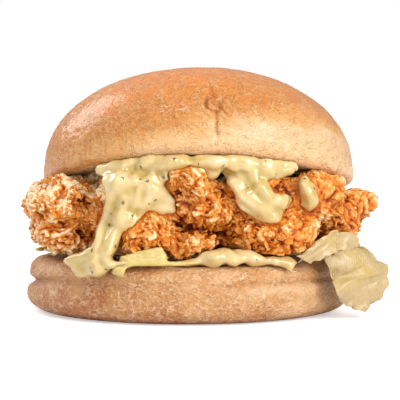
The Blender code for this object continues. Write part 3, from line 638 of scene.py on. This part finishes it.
def crustRelief(p):
    q = p + swirl(p, crust["swirlSize"]) * crust["swirlReach"]
    pocketed, knobby, frilled = crustKinds(p)
    broken = pillow(wobble(q, crust["breakSize"], 29))
    height = mound(q, crust["grain"], 5) + mound(q, crust["clump"], 17, 0.5) * (1 - 0.7 * pocketed)
    if pocketed > 0:  # ribs that run down to the right, with long pockets between them
        along, across = 0.75 * q.x - 0.66 * q.z, 0.66 * q.x + 0.75 * q.z
        near = noise.voronoi(Vector((0.42 * along, across, q.y)) / crust["pocketSize"])[0]
        rib = (1 - smoothStep(0.02, 0.55, near[1] - near[0])) * (0.3 + 0.7 * broken)
        height += pocketed * (crust["pocketDepth"] * rib + mound(q, crust["bead"], 7) * (0.4 + 0.6 * rib))
    if knobby > 0:
        height += knobby * (mound(q, crust["knob"], 11, 0.6) + mound(q, crust["dimple"], 13))
    if frilled > 0:
        lying = Vector((0.7 * q.x + 0.2 * q.z, q.y, q.z))
        layers = shingle(crust["layers"] * wobble(lying, crust["foldSize"])) * (0.35 + 0.65 * broken)
        height += frilled * (crust["foldHeight"] * layers + mound(q, crust["frill"], 7))
    return height


def crustMark(p):  # how far the hollows and lumps that the front shows push in at a spot
    push = 0.0
    if p.y < crust["markedFrom"]:
        for x, z, wide, high, depth in crust["marks"]:
            a, b = (p.x / mm - x) / wide, (p.z / mm - z) / high
            push += depth * mm * exp(-a * a - b * b)
    return push


def makeCrust():
    material, tree, shader = makeMaterial("friedCrust", {
        "Specular IOR Level": 0.28, "Coat Weight": 0.24, "Coat Roughness": 0.13, "Subsurface Weight": 0.08,
        "Subsurface Scale": 0.001, "Subsurface Radius": (1, 0.45, 0.15),
    })
    grain = useGroup(tree, crumbGrain, {"Place": placeOf(tree), "Scale": 900.0})
    colour = ramp(tree, plus(tree, stored(tree, "tone"), remap(tree, grain["Tone"], 0.3, 0.7, -0.1, 0.1)), [
        (0.0, (0.14, 0.012, 0.0)), (0.18, (0.40, 0.062, 0.0)), (0.38, (0.62, 0.155, 0.003)),
        (0.58, (0.77, 0.265, 0.027)), (0.78, (0.87, 0.44, 0.14)), (1.0, (0.96, 0.73, 0.44)),
    ])
    roughness = remap(tree, grain["Tone"], 0.3, 0.7, 0.38, 0.58)
    finishMaterial(tree, shader, colour, grain["Height"], 0.85, 0.45 * mm, roughness)
    return material


crustMaterial = makeCrust()
sauceNodes = ("sauce_top", "sauce_drop", "sauce_spread")
sauceTrees = [treeOf(nodes[name].data) for name in sauceNodes]


def fromSauce(point):
    return min(tree.find_nearest(point)[3] for tree in sauceTrees)


def refineOutside(piece, hiddenRadius, kept):  # finer where it shows, coarser inside
    bm = bmesh.new()
    bm.from_mesh(piece.data)
    edges = set()
    for face in bm.faces:
        middle = face.calc_center_median()
        out = fromAxis(middle.x, middle.y)
        top = face.normal.z > 0.85 and out < crust["topRadius"]
        bottom = face.normal.z < -0.8 and middle.z < crust["bottomUp"]
        if out > hiddenRadius and not top and not bottom:
            edges.update(face.edges)
    bmesh.ops.subdivide_edges(bm, edges=list(edges), cuts=1, use_grid_fill=True)
    hidden = [v.index for v in bm.verts if fromAxis(v.co.x, v.co.y) < hiddenRadius - 3 * mm]
    bm.to_mesh(piece.data)
    bm.free()
    group = piece.vertex_groups.new(name="hidden")
    group.add(hidden, 1.0, "REPLACE")
    thin = piece.modifiers.new("thin", "DECIMATE")
    thin.ratio, thin.vertex_group = kept, group.name
    bakeModifiers(piece)
    piece.vertex_groups.clear()


def rising(values, start, end):  # 0 at the start and 1 at the end, both in mm
    return np.clip((values / mm - start) / (end - start), 0, 1)


def underCrown(points, room):
    for p in points:
        top = crownUnderside(p[0], p[1]) - room
        if p[2] > top:
            p[2] = top
    return points


def crustTone(mesh, points, normals, height, marks):  # painted highlight on ridges, high relief and up-facing spots, painted shade in creases, hollows and pushed-in marks, with random patches, lighter on the left and darker on the right
    rule = crust["tone"]
    fineCavity = ((smoothed(points, mesh, 8) - points) * normals).sum(1)
    broadCavity = ((smoothed(points, mesh, 90) - points) * normals).sum(1)
    patch = np.array([wobble(Vector(p), 11 * mm, 8) for p in points])
    edge = -fineCavity / mm  # above 0 on ridges, below 0 in creases
    # painted highlight on ridges, painted shade in creases
    tone = rule["base"] + np.where(edge > 0, rule["ridge"], rule["crease"]) * edge
    tone += rule["relief"] * (height / mm - rule["middle"]) - rule["hollow"] * broadCavity / mm
    # painted shade in pushed-in marks, painted light paler on up-facing spots
    tone += rule["patch"] * patch - rule["mark"] * marks / mm + rule["up"] * np.clip(normals[:, 2], -0.8, 1)
    x, y, z = points.T
    left = rising(x, -18, -30) * (0.35 + 0.65 * rising(y, 0, -18))
    # painted highlight on the top of the left chunk; lighter on the left and darker on the right
    tone += left * (rule["leftTop"] * rising(z, 35, 47) + rule["left"]) - rule["right"] * rising(x, 14, 28)
    return np.clip(smoothed(tone, mesh, 1), 0, 1)


def buildFillet():
    piece = melted("chickenFillet", "chicken_fillet", crust["voxel"], crustMaterial)
    refineOutside(piece, crust["hiddenRadius"], crust["kept"])
    mesh = piece.data
    start, normals = softened(mesh, 3)
    height, marks, moved = np.zeros(len(start)), np.zeros(len(start)), start.copy()
    for i, (p, n) in enumerate(zip(start, normals)):
        point = Vector(p)
        shows = smoothStep(33 * mm, 40 * mm, fromAxis(p[0], p[1]))
        if shows == 0:
            continue
        free = smoothStep(0.3 * mm, 2.2 * mm, fromSauce(point))
        height[i] = crustRelief(point) * shows
        rise = (height[i] - crust["sink"] * shows) * (0.25 + 0.75 * free)
        rise = rise if free > 0.5 else min(rise, 0.1 * mm * free)
        curl = swirl(point, crust["curlSize"], 50) * crust["curl"] * free * shows
        marks[i] = crustMark(point) * free
        moved[i] = p + n * rise + np.array(curl)
        moved[i, 1] += marks[i]
        if p[1] < -30 * mm:  # the batter sags on to the lettuce at the left of the front
            window = smoothStep(-30 * mm, -24 * mm, p[0]) * smoothStep(4 * mm, -4 * mm, p[0])
            moved[i, 2] -= crust["sag"] * window * smoothStep(31 * mm, 26 * mm, p[2])
    moved = underCrown(moved, crust["room"])
    moved[:, 2] = np.maximum(moved[:, 2], crust["floorUp"])
    movePoints(mesh, moved)
    keepValues(mesh, tone=crustTone(mesh, moved, normals, height, marks))
    return finishPiece(piece)


# random spots on the mesh by area, with normals: only those that keep() lets through
def surfaceSpots(mesh, count, seed, keep):
    rng = np.random.RandomState(seed)
    points = pointsOf(mesh)
    mesh.calc_loop_triangles()
    a, b, c = (points[[t.vertices[k] for t in mesh.loop_triangles]] for k in range(3))
    normals = np.cross(b - a, c - a)
    area = np.linalg.norm(normals, axis=1)
    spots = []
    for i in rng.choice(len(area), size=6 * count, p=area / area.sum()):  # most of them don't show
        middle = (a[i] + b[i] + c[i]) / 3
        normal = normals[i] / max(area[i], 1e-12)
        if keep(Vector(middle)):
            spots.append((Vector(middle), Vector(normal)))
        if len(spots) == count:
            break
    return spots


def showsOnFillet(spot):
    under = crownUnderside(spot.x, spot.y) - spot.z
    onSide = fromAxis(spot.x, spot.y) > 41 * mm and spot.z > 23.5 * mm
    return onSide and under > 2.2 * mm and fromSauce(spot) > 1.6 * mm


def frillsOnFillet(spot):
    return showsOnFillet(spot) and crustKinds(spot)[2] > 0.5 and spot.z < 48 * mm


def slabFaces(along, across):  # closes a grid of points in two layers, the outer one first
    size, faces = along * across, []
    for i in range(along - 1):
        for j in range(across - 1):
            a, b = i * across + j, (i + 1) * across + j
            faces.append((a, b, b + 1, a + 1))
            faces.append((a + size + 1, b + size + 1, b + size, a + size))
    last = (along - 1) * across
    border = [i * across for i in range(along)] + [last + j for j in range(1, across)]
    border += [i * across + across - 1 for i in range(along - 2, -1, -1)]
    border += list(range(across - 2, 0, -1))
    faces += [(b, a, a + size, b + size) for a, b in zip(border, border[1:] + border[:1])]
    return faces


def addLoose(name, points, faces, tones):  # many small bits of batter as one piece
    mesh = meshFrom(name, underCrown([list(p) for p in points], crust["looseRoom"]), faces)
    keepValues(mesh, tone=np.clip(tones, 0, 1))
    finishPiece(addPiece(name, mesh, crustMaterial))


def buildFlakes(mesh):  # thin curled scraps of batter
    draw = random.Random(5)
    long, wide = crust["flakeGrid"]
    grid = [(i / (long - 1) - 0.5, j / (wide - 1) - 0.5) for i in range(long) for j in range(wide)]
    template, points, faces, tones = slabFaces(long, wide), [], [], []
    for spot, normal in surfaceSpots(mesh, crust["flakes"], 11, frillsOnFillet):
        length, width = draw.uniform(*crust["flakeLength"]) * mm, draw.uniform(*crust["flakeWidth"]) * mm
        curl, ruffle = draw.uniform(0.25, 0.9), draw.uniform(0.2, 0.5)
        thickness, shift = draw.uniform(*crust["flakeThickness"]) * mm, draw.uniform(0, 50)
        side = normal.orthogonal().normalized()
        side.rotate(Matrix.Rotation(draw.uniform(0, 6.28), 3, normal))
        lift = draw.uniform(0.0, 0.6)
        along = (side * cos(lift) + normal * sin(lift)).normalized()
        across = normal.cross(side).normalized()
        up = along.cross(across)
        tone, first = draw.uniform(*crust["flakeTone"]), len(points)
        for face in (1, -1):
            for u, v in grid:
                w = v * sqrt(1.04 - 4 * u * u) * (1 + 0.5 * noiseAt(u * 4, shift, 0))
                bend = curl * (u + 0.5) ** 2 * length
                bend += ruffle * width * noiseAt(u * 3, v * 3, shift)
                edge = max(0, 1 - abs(2 * u) ** 3) * max(0, 1 - abs(2 * v) ** 3)
                point = spot + along * (u + 0.2) * length + across * w * width + up * (bend * 0.6)
                points.append(point + up * face * thickness * (0.25 + 0.25 * edge))
                # painted highlight: paler towards each flake's free end and its sides
                tones.append(min(1, tone + 0.25 * (u + 0.2) + 0.15 * abs(v)))
        faces += [tuple(first + k for k in face) for face in template]
    addLoose("crustFlakes", points, faces, tones)


def buildCrumbs(mesh):
    draw = random.Random(6)
    seed = bmesh.new()
    bmesh.ops.create_icosphere(seed, subdivisions=2, radius=1)
    ball = [v.co.copy() for v in seed.verts]
    shell = [tuple(v.index for v in f.verts) for f in seed.faces]
    seed.free()
    points, faces, tones = [], [], []
    for spot, normal in surfaceSpots(mesh, crust["crumbs"], 12, showsOnFillet):
        size = draw.uniform(*crust["crumbSize"]) * mm
        stretch = Vector((draw.uniform(0.8, 1.4), draw.uniform(0.8, 1.4), draw.uniform(0.7, 1)))
        tone, first, shift = draw.uniform(*crust["crumbTone"]), len(points), draw.uniform(0, 99)
        for corner in ball:
            rough = 1 + 0.6 * noise.noise(corner * 1.7 + Vector((shift, 0, 0)))
            points.append(spot + normal * size * 0.1 + corner * stretch * size * rough)
            # painted light: each crumb is paler on its top
            tones.append(tone + 0.12 * corner.z)
        faces += [tuple(first + k for k in face) for face in shell]
    addLoose("crustCrumbs", points, faces, tones)


# herb mayonnaise

sauce = {
    "voxel": {"sauceTop": 0.55 * mm, "sauceDrop": 0.5 * mm, "sauceSpread": 0.75 * mm},
    "settle": 12, "swell": 0.3 * mm, "streakHeight": 0.5 * mm,
    "fold": (1.1 * mm, 5.0 * mm), "ripple": (0.35 * mm, 2.6 * mm),
    "bandSwell": 0.6 * mm, "bandThin": 1.5 * mm, "tipIn": 2.0 * mm, "leftIn": 2.0 * mm, "room": 0.12 * mm,
    "speckScale": 360.0, "specksKept": (0.55, 0.57), "speckSize": (0.06, 0.34),
    "ropes": [  # height and half width in mm (a furrow where below 0), and the x, z points of its path
        (1.5, 2.3, [(-29.0, 47.0), (-22.0, 48.2), (-14.0, 47.2), (-8.0, 44.5), (-5.0, 41.2), (-5.2, 39.0)]),
        (1.3, 1.7, [(-2.0, 55.6), (-8.0, 54.2), (-11.2, 50.8), (-9.0, 47.6)]),
        (-0.9, 1.6, [(-26.3, 51.6), (-19.0, 52.9), (-14.0, 51.0)]),
        (0.8, 1.5, [(-29.0, 53.0), (-20.0, 55.2), (-10.0, 56.4)]),
        (1.1, 1.5, [(-26.0, 43.9), (-28.0, 37.2), (-30.5, 30.5), (-32.0, 27.0)]),
        (1.0, 1.4, [(-20.6, 42.2), (-23.0, 33.8), (-26.3, 28.8), (-26.0, 25.0)]),
        (-0.7, 1.2, [(-23.5, 43.0), (-25.6, 35.0), (-28.5, 28.5)]),
        (1.1, 1.6, [(-35.5, 25.5), (-32.5, 22.0), (-29.0, 18.1)]),
        (-0.6, 1.1, [(-30.0, 25.5), (-28.5, 21.0)]),
        (1.0, 2.0, [(9.5, 53.9), (16.0, 46.0), (22.0, 40.8), (28.5, 36.0)]),
        (0.9, 1.6, [(27.5, 53.0), (28.0, 47.5), (32.0, 42.5), (34.0, 39.5)]),
        (-0.7, 1.5, [(17.5, 53.0), (20.5, 47.0), (26.5, 41.0)]),
        (0.6, 1.2, [(22.5, 51.5), (25.0, 46.0), (30.0, 41.0)]),
        (0.7, 1.6, [(38.8, 47.0), (41.5, 43.5), (41.8, 39.5)]),
        (1.2, 1.6, [(12.0, 22.5), (16.0, 20.5)]),
        (-0.8, 1.1, [(5.0, 21.5), (9.0, 20.0)]),
    ],
}


def makeMayonnaise():
    material, tree, shader = makeMaterial("herbMayonnaise", {
        "Roughness": 0.14, "Coat Weight": 0.75, "Coat Roughness": 0.04, "Subsurface Weight": 0.2,
        "Subsurface Scale": 0.003, "Subsurface Radius": (1, 0.8, 0.35),
    })
    place = placeOf(tree)
    colour = ramp(tree, speckle(tree, place, 130.0, 3.0), [
        (0.3, (0.53, 0.37, 0.115)), (0.5, (0.62, 0.45, 0.185)), (0.7, (0.71, 0.56, 0.30)),
    ])
    # painted shade: darker olive in the hollows of the sauce
    colour = mixed(tree, times(tree, stored(tree, "thin"), 0.8), colour, (0.44, 0.29, 0.04))
    push = put(tree, "ShaderNodeTexNoise", {"Vector": place, "Scale": 900.0}).outputs["Color"]
    shift = put(tree, "ShaderNodeVectorMath", {0: push, "Scale": 1.5 * mm}, operation="SCALE").outputs[0]
    bent = put(tree, "ShaderNodeVectorMath", {0: place, 1: shift}, operation="ADD").outputs[0]
    cells = put(tree, "ShaderNodeTexVoronoi", {"Vector": bent, "Scale": sauce["speckScale"]}).outputs
    lot = put(tree, "ShaderNodeSeparateColor", {"Color": cells["Color"]}).outputs[0]
    size = remap(tree, speckle(tree, place, 500.0), 0.3, 0.7, *sauce["speckSize"])
    inside = sums(tree, "LESS_THAN", cells["Distance"], size)
    speck = times(tree, inside, remap(tree, lot, *sauce["specksKept"]))
    herb = mixed(tree, speckle(tree, place, 260.0), (0.02, 0.017, 0.004), (0.11, 0.085, 0.015))
    height = plus(tree, times(tree, speckle(tree, place, 240.0), 0.6), speck)
    finishMaterial(tree, shader, mixed(tree, times(tree, speck, 0.8), colour, herb), height, 0.25, 0.2 * mm)
    return material


def ropeRise(p):  # how far the thick folds stand out, and the furrows sink, at a spot of the front
    if p.y > 0:
        return 0.0
    fold, furrow, here = 0.0, 0.0, Vector((p.x, p.z)) / mm
    for height, width, path in sauce["ropes"]:
        for a, b in zip(path, path[1:]):
            a, b = Vector(a), Vector(b)
            share = min(1, max(0, (here - a).dot(b - a) / (b - a).length_squared))
            away = (here - a.lerp(b, share)).length / width
            rise = height * mm * exp(-away * away)
            fold, furrow = max(fold, rise), min(furrow, rise)
    return fold + furrow


def streak(p):  # soft folds along the way that the sauce runs, down to the left and to the right
    if p.x < 4 * mm:
        along, across = -0.4 * p.x - 0.9 * p.z, 0.9 * p.x - 0.4 * p.z
    else:
        along, across = 0.65 * p.x - 0.76 * p.z, 0.76 * p.x + 0.65 * p.z
    across += 2 * mm * wobble(p, 9 * mm, 14)
    return noise.noise(Vector((across / 2.1, along / 11, p.y / 8)) / mm)


def buildSauce(name, node, material):
    piece = melted(name, node, sauce["voxel"][name], material)
    mesh = piece.data
    soft, normals = softened(mesh, sauce["settle"])
    rise = np.zeros(len(soft))
    for i, p in enumerate(soft):
        point, forward, upward = Vector(p), max(0, -normals[i, 1]), normals[i, 2]
        bent = point + swirl(point, 8 * mm) * 3 * mm
        rise[i] = sauce["swell"] + layer(bent, sauce["fold"], 4) + layer(bent, sauce["ripple"], 9)
        rise[i] += ropeRise(point) * forward + sauce["streakHeight"] * streak(point)
        # the band under the crown is uneven, and thin towards its right-hand tip
        band = smoothStep(4.5 * mm, 2.5 * mm, crownUnderside(p[0], p[1]) - p[2]) if p[1] < 0 else 0
        thinner = smoothStep(-0.25, 0.25, wobble(point, 6 * mm, 70)) * forward
        rise[i] += band * (sauce["bandSwell"] * max(0, upward) - sauce["bandThin"] * thinner)
        tip = band * smoothStep(24 * mm, 33 * mm, p[0]) * max(0, -normals[i, 1] - upward)
        rise[i] -= sauce["tipIn"] * tip + sauce["leftIn"] * smoothStep(-30 * mm, -36 * mm, p[0]) * forward
    moved = smoothed(soft + normals * rise[:, None], mesh, 3)
    moved = underCrown(moved, sauce["room"])
    movePoints(mesh, moved)
    hollow = ((smoothed(moved, mesh, 60) - moved) * normals).sum(1)
    keepValues(mesh, thin=np.clip(0.4 + 2.0 * hollow / mm, 0, 1))  # painted shade: darker in the sauce's hollows, paler on its bumps
    finishPiece(piece)


# lettuce

leafShape = {
    "thickness": 0.55 * mm, "wave": (0.55 * mm, 4 * mm), "sway": (1.3 * mm, 9 * mm),
    "crinkle": (0.16 * mm, 1.9 * mm), "foldDepth": 2.0 * mm, "frayReach": 1.1 * mm, "fraySize": 2.6 * mm,
    "ribs": {"leafOuter": 26, "leafInner": 2}, "ribHeight": 0.2 * mm,
    "levels": {"leafOuter": 5, "leafInner": 4},
    "outer": [
        [(37.5, -41, 20.9), (43, -34.5, 20.9), (48, -26, 20.9), (52, -15, 20.9)],
        [(43, -40.5, 23.6), (50, -35.5, 23.8), (56, -26, 24.6), (60, -15, 24.4)],
        [(47.5, -40.5, 22.6), (53.5, -37, 24.4), (60, -29, 24), (64, -18, 21.5)],
        [(49, -40, 18.5), (55, -39, 18.6), (63, -32, 18.6), (68.2, -23, 17.5)],
        [(48.6, -37.6, 14.6), (54.5, -35.5, 14.4), (63, -30.5, 15), (69.2, -25, 14)],
        [(50.5, -38.6, 10.4), (56, -38, 12), (64, -32, 11.6), (69.2, -25, 11.4)],
        [(52, -37.4, 7.4), (57, -35.5, 6.6), (63, -30.5, 6.4), (67, -26, 8.2)],
        [(54.5, -35.5, 5.2), (58, -33, 3.2), (61.5, -30, 2.6), (63.5, -27.5, 4.6)],
    ],
    "inner": [
        [(37.5, -43.6, 22.6), (39.5, -43.4, 21.2), (41.5, -42.4, 20.4)],
        [(42.5, -42.8, 26.2), (44.5, -42.8, 24.6), (46.5, -42.2, 22.4)],
        [(48, -40, 30.2), (49.8, -39.8, 27.8), (51, -39.6, 24)],
        [(51, -36.5, 31.2), (52.6, -36, 28.6), (54, -36, 24)],
        [(54.8, -32.5, 30), (56.2, -32, 27.4), (57.4, -31.4, 24)],
        [(57.6, -28.6, 28.4), (59, -27.8, 26.4), (59.6, -27, 24)],
    ],
}
shreds = {
    "voxel": 0.6 * mm, "waveSize": 1.8 * mm, "waveHeight": 0.22 * mm, "lineGap": 0.2 * mm,
    "extra": 110, "grid": (12, 3), "breadth": (1.6, 3.6), "thickness": 0.45 * mm,
    "root": 38 * mm, "rootUp": 22.6 * mm, "reach": (49.5, 53.5), "tipUp": (20.9, 23.4),
    "bow": 1.5 * mm, "lift": 0.9 * mm, "bedRadius": 50 * mm, "bedUp": (20.3 * mm, 24 * mm),
}


def makeLettuce(name, pale, yellow, deep):
    material, tree, shader = makeMaterial(name, {
        "Roughness": 0.3, "Subsurface Weight": 0.3, "Subsurface Scale": 0.002,
        "Subsurface Radius": (1, 0.9, 0.3), "Coat Weight": 0.3, "Coat Roughness": 0.15,
    })
    place = placeOf(tree)
    blade = useGroup(tree, leafBlade, {"Place": place, "Rib": stored(tree, "rib")})
    patch = remap(tree, speckle(tree, place, 80.0, 3.0), 0.38, 0.62)
    skin = mixed(tree, times(tree, patch, stored(tree, "green"), clamp=True), pale, yellow)
    ribbed = mixed(tree, times(tree, blade["Shade"], 0.55), skin, deep)
    finishMaterial(tree, shader, ribbed, blade["Height"], 0.4, 0.3 * mm)
    return material


def buildLeaf(name, cage, node, material, green):
    rows, columns = len(cage), len(cage[0])
    points = [Vector(p) * mm for row in cage for p in row]
    faces = [(r * columns + c, r * columns + c + 1, (r + 1) * columns + c + 1, (r + 1) * columns + c)
             for r in range(rows - 1) for c in range(columns - 1)]
    mesh = meshFrom(name, points, faces)
    keepValues(mesh, across=[c / (columns - 1) for r in range(rows) for c in range(columns)],
               along=[r / (rows - 1) for r in range(rows) for c in range(columns)])
    piece = addPiece(name, mesh, material, (node,))
    soften = piece.modifiers.new("soften", "SUBSURF")
    soften.levels = soften.render_levels = leafShape["levels"][name]
    soften.boundary_smooth = "PRESERVE_CORNERS"
    bakeModifiers(piece)
    mesh = piece.data
    start, normals = pointsOf(mesh), normalsOf(mesh)
    places = [[v.value for v in mesh.attributes[key].data] for key in ("across", "along")]
    moved, shade, ribs = start.copy(), np.zeros(len(start)), np.zeros(len(start))
    for i, (p, n, across, along) in enumerate(zip(start, normals, *places)):
        point = Vector(p)
        turn = (across + 0.25 * along) * leafShape["ribs"][name] * 2 * pi
        ribs[i] = sin(turn + 3 * wobble(point, 10 * mm)) * (0.25 + 0.75 * smoothStep(0.68, 0.55, along))
        ribs[i] *= 0.5 + 0.5 * smoothStep(-0.3, 0.2, wobble(point, 5 * mm, 2))
        rise = layer(point, leafShape["wave"]) + layer(point, leafShape["sway"], 22)
        rise += layer(point, leafShape["crinkle"], 6) + leafShape["ribHeight"] * ribs[i]
        rise -= leafShape["foldDepth"] * ridge(along - 0.6 + 0.25 * (across - 0.5), 8)
        edge = max(abs(2 * across - 1) ** 6, smoothStep(0.85, 1, along))
        fray = swirl(point, leafShape["fraySize"], 13) * leafShape["frayReach"] * edge
        moved[i] = p + n * rise * (0.35 + 0.65 * smoothStep(0, 0.2, along)) + np.array(fray)
        shade[i] = green * (0.6 + 0.5 * wobble(point, 8 * mm)) * smoothStep(1.0, 0.3, along)
    movePoints(mesh, moved)
    keepValues(mesh, green=shade, rib=0.5 + 0.5 * ribs)
    shell = piece.modifiers.new("thickness", "SOLIDIFY")
    shell.thickness = leafShape["thickness"]
    shell.offset = 0
    bakeModifiers(piece)
    finishPiece(piece)


def buildShreds(material):
    piece = melted("lettuceShreds", "lettuce_shreds", shreds["voxel"], material)
    mesh = piece.data
    soft, normals = softened(mesh, 3)
    wave = np.array([wobble(Vector(p), shreds["waveSize"]) for p in soft])
    movePoints(mesh, soft + normals * (shreds["waveHeight"] * wave)[:, None])
    turns = [p[2] / shreds["lineGap"] + 22 * wobble(Vector(p), 14 * mm) for p in soft]
    keepValues(mesh, rib=[0.6 + 0.3 * sin(turn) for turn in turns], green=0.55 + 0.6 * wave)
    finishPiece(piece)


def buildLooseShreds(material):  # thin cut ribbons laid round the edge of the bed
    draw = random.Random(31)
    steps, wide = shreds["grid"]
    template = [(face[0], *face[:0:-1]) for face in slabFaces(steps, wide)]  # turned to look outwards
    points, faces, rib, green = [], [], [], []
    for i in range(shreds["extra"]):
        angle = 2 * pi * (i + draw.uniform(-0.4, 0.4)) / shreds["extra"]
        front = cos(angle + pi / 2)  # 1 at the front
        if front > -0.35 and cos(angle) < 0.75:
            continue  # the photographed front is laid by hand in the solid
        inner = angle + draw.uniform(-0.35, 0.35)
        root, reach = shreds["root"], draw.uniform(*shreds["reach"]) * mm
        a = Vector((root * cos(inner), root * sin(inner), shreds["rootUp"]))
        b = Vector((reach * cos(angle), reach * sin(angle), draw.uniform(*shreds["tipUp"]) * mm))
        breadth, shift = draw.uniform(*shreds["breadth"]) * mm, draw.uniform(0, 60)
        roll = draw.uniform(-0.9, 0.9)
        side = (b - a).cross(Vector((0, 0, 1))).normalized()
        side = (side * cos(roll) + Vector((0, 0, 1)) * sin(roll) * 0.5).normalized()
        up = side.cross((b - a).normalized())
        tint, first = draw.uniform(0.1, 0.9), len(points)
        for half, s, w in [(h, s, w) for h in (0.5, -0.5) for s in range(steps) for w in range(wide)]:
            t, v = s / (steps - 1), w / (wide - 1) - 0.5
            point = a.lerp(b, t) + side * shreds["bow"] * noiseAt(t * 3, shift, 0)
            point += side * breadth * v * (1 - 0.6 * max(0, t - 0.8) / 0.2)
            lift = shreds["lift"] * noiseAt(t * 4, v * 2, shift)
            point += up * (lift + half * shreds["thickness"])
            if hypot(point.x, point.y) < shreds["bedRadius"]:
                point.z = min(max(point.z, shreds["bedUp"][0]), shreds["bedUp"][1])
            points.append(point)
            rib.append(0.5 + v * (1 if w % 2 else -1))
            green.append(tint)
        faces += [tuple(first + k for k in face) for face in template]
    mesh = meshFrom("lettuceRibbons", points, faces)
    keepValues(mesh, rib=rib, green=green)
    finishPiece(addPiece("lettuceRibbons", mesh, material))


# studio

studio = {
    "cameraAt": (4.46 * mm, -798.5 * mm, 87.87 * mm), "pitch": 3.5, "lens": 201.6,
    "skyLow": 0.28, "skyHigh": 0.85, "floor": (0.82, 0.82, 0.82), "floorGlow": 0.05, "floorWhite": 0.48,
    "floorRadii": (0.3, 8), "floorSides": 96, "clip": (0.05, 20), "aim": (0, 0, 0.04),
    "lights": [  # name, place, size, power
        ("keyRight", (0.88, -0.9, 0.62), 1.0, 16.0),
        ("rimLeft", (-0.68, 0.5, 0.56), 0.62, 4.6),
        ("frontFill", (-0.2, -1.3, 0.35), 0.9, 3.2),
        ("glint", (-0.25, -0.55, 0.95), 0.2, 1.6),
    ],
}


def buildSky():  # white to the camera, dim at the horizon and bright overhead to the burger
    world = bpy.data.worlds.new("studio")
    world.use_nodes = True
    tree = world.node_tree
    back = tree.nodes["Background"]
    direction = put(tree, "ShaderNodeTexCoord").outputs["Generated"]
    height = put(tree, "ShaderNodeSeparateXYZ", {"Vector": direction}).outputs["Z"]
    light = remap(tree, height, 0.0, 0.9, studio["skyLow"], studio["skyHigh"])
    seen = put(tree, "ShaderNodeLightPath").outputs["Is Camera Ray"]
    back.inputs["Color"].default_value = (1, 1, 1, 1)
    tree.links.new(sums(tree, "MAXIMUM", light, seen), back.inputs["Strength"])
    scene.world = world


def buildStudio():
    camera = bpy.data.cameras.new("camera")
    camera.lens, camera.sensor_width = studio["lens"], 36
    camera.clip_start, camera.clip_end = studio["clip"]
    eye = bpy.data.objects.new("camera", camera)
    eye.location = studio["cameraAt"]
    eye.rotation_euler = (radians(90 - studio["pitch"]), 0, 0)
    scene.collection.objects.link(eye)
    scene.camera = eye
    scene.view_settings.view_transform = "Standard"
    buildSky()
    for name, place, size, power in studio["lights"]:
        lamp = bpy.data.lights.new(name, "AREA")
        lamp.shape, lamp.size, lamp.energy = "DISK", size, power
        light = bpy.data.objects.new(name, lamp)
        light.location = place
        light.visible_camera = False
        aim = Vector(studio["aim"]) - Vector(place)
        light.rotation_euler = aim.to_track_quat("-Z", "Y").to_euler()
        scene.collection.objects.link(light)

    sides = studio["floorSides"]
    turns = np.linspace(0, 2 * pi, sides, endpoint=False)
    points = [(r * cos(t), r * sin(t), 0) for r in studio["floorRadii"] for t in turns]
    faces = [(sides + i, sides + (i + 1) % sides, (i + 1) % sides, i) for i in range(sides)]
    faces.append(tuple(range(sides)))
    floor = bpy.data.objects.new("floor", meshFrom("floor", points, faces))
    material, tree, shader = makeMaterial("paleFloor", {"Roughness": 0.8, "Emission Color": (1, 1, 1, 1)})
    shader.inputs["Base Color"].default_value = (*studio["floor"], 1)
    seen = put(tree, "ShaderNodeLightPath").outputs["Is Camera Ray"]
    glow = remap(tree, seen, 0, 1, studio["floorGlow"], studio["floorWhite"])
    tree.links.new(glow, shader.inputs["Emission Strength"])
    floor.data.materials.append(material)
    scene.collection.objects.link(floor)


buildStudio()
print("studio set")
buildHalf("bunCrown", "bun_crown", crownProfile(), crownPlace, crownMarks,
          makeBunSkin("crownSkin", crown))
buildHalf("bunHeel", "bun_heel", heelProfile(), heelPlace, heelMarks,
          makeBunSkin("heelSkin", heel))
print("bun baked")
filletPiece = buildFillet()
buildFlakes(filletPiece.data)
buildCrumbs(filletPiece.data)
print("fillet fried")
mayonnaise = makeMayonnaise()
for pieceName, node in zip(("sauceTop", "sauceDrop", "sauceSpread"), sauceNodes):
    buildSauce(pieceName, node, mayonnaise)
print("sauce poured")
leafMaterial = makeLettuce("leafLettuce", (0.54, 0.395, 0.22), (0.50, 0.345, 0.045), (0.36, 0.235, 0.03))
shredMaterial = makeLettuce("shredLettuce", (0.68, 0.52, 0.22), (0.58, 0.42, 0.08), (0.36, 0.28, 0.05))
buildLeaf("leafOuter", leafShape["outer"], "lettuce_leaf_outer", leafMaterial, 1.1)
buildLeaf("leafInner", leafShape["inner"], "lettuce_leaf_inner", leafMaterial, 1.0)
buildShreds(shredMaterial)
buildLooseShreds(shredMaterial)
print("lettuce laid")
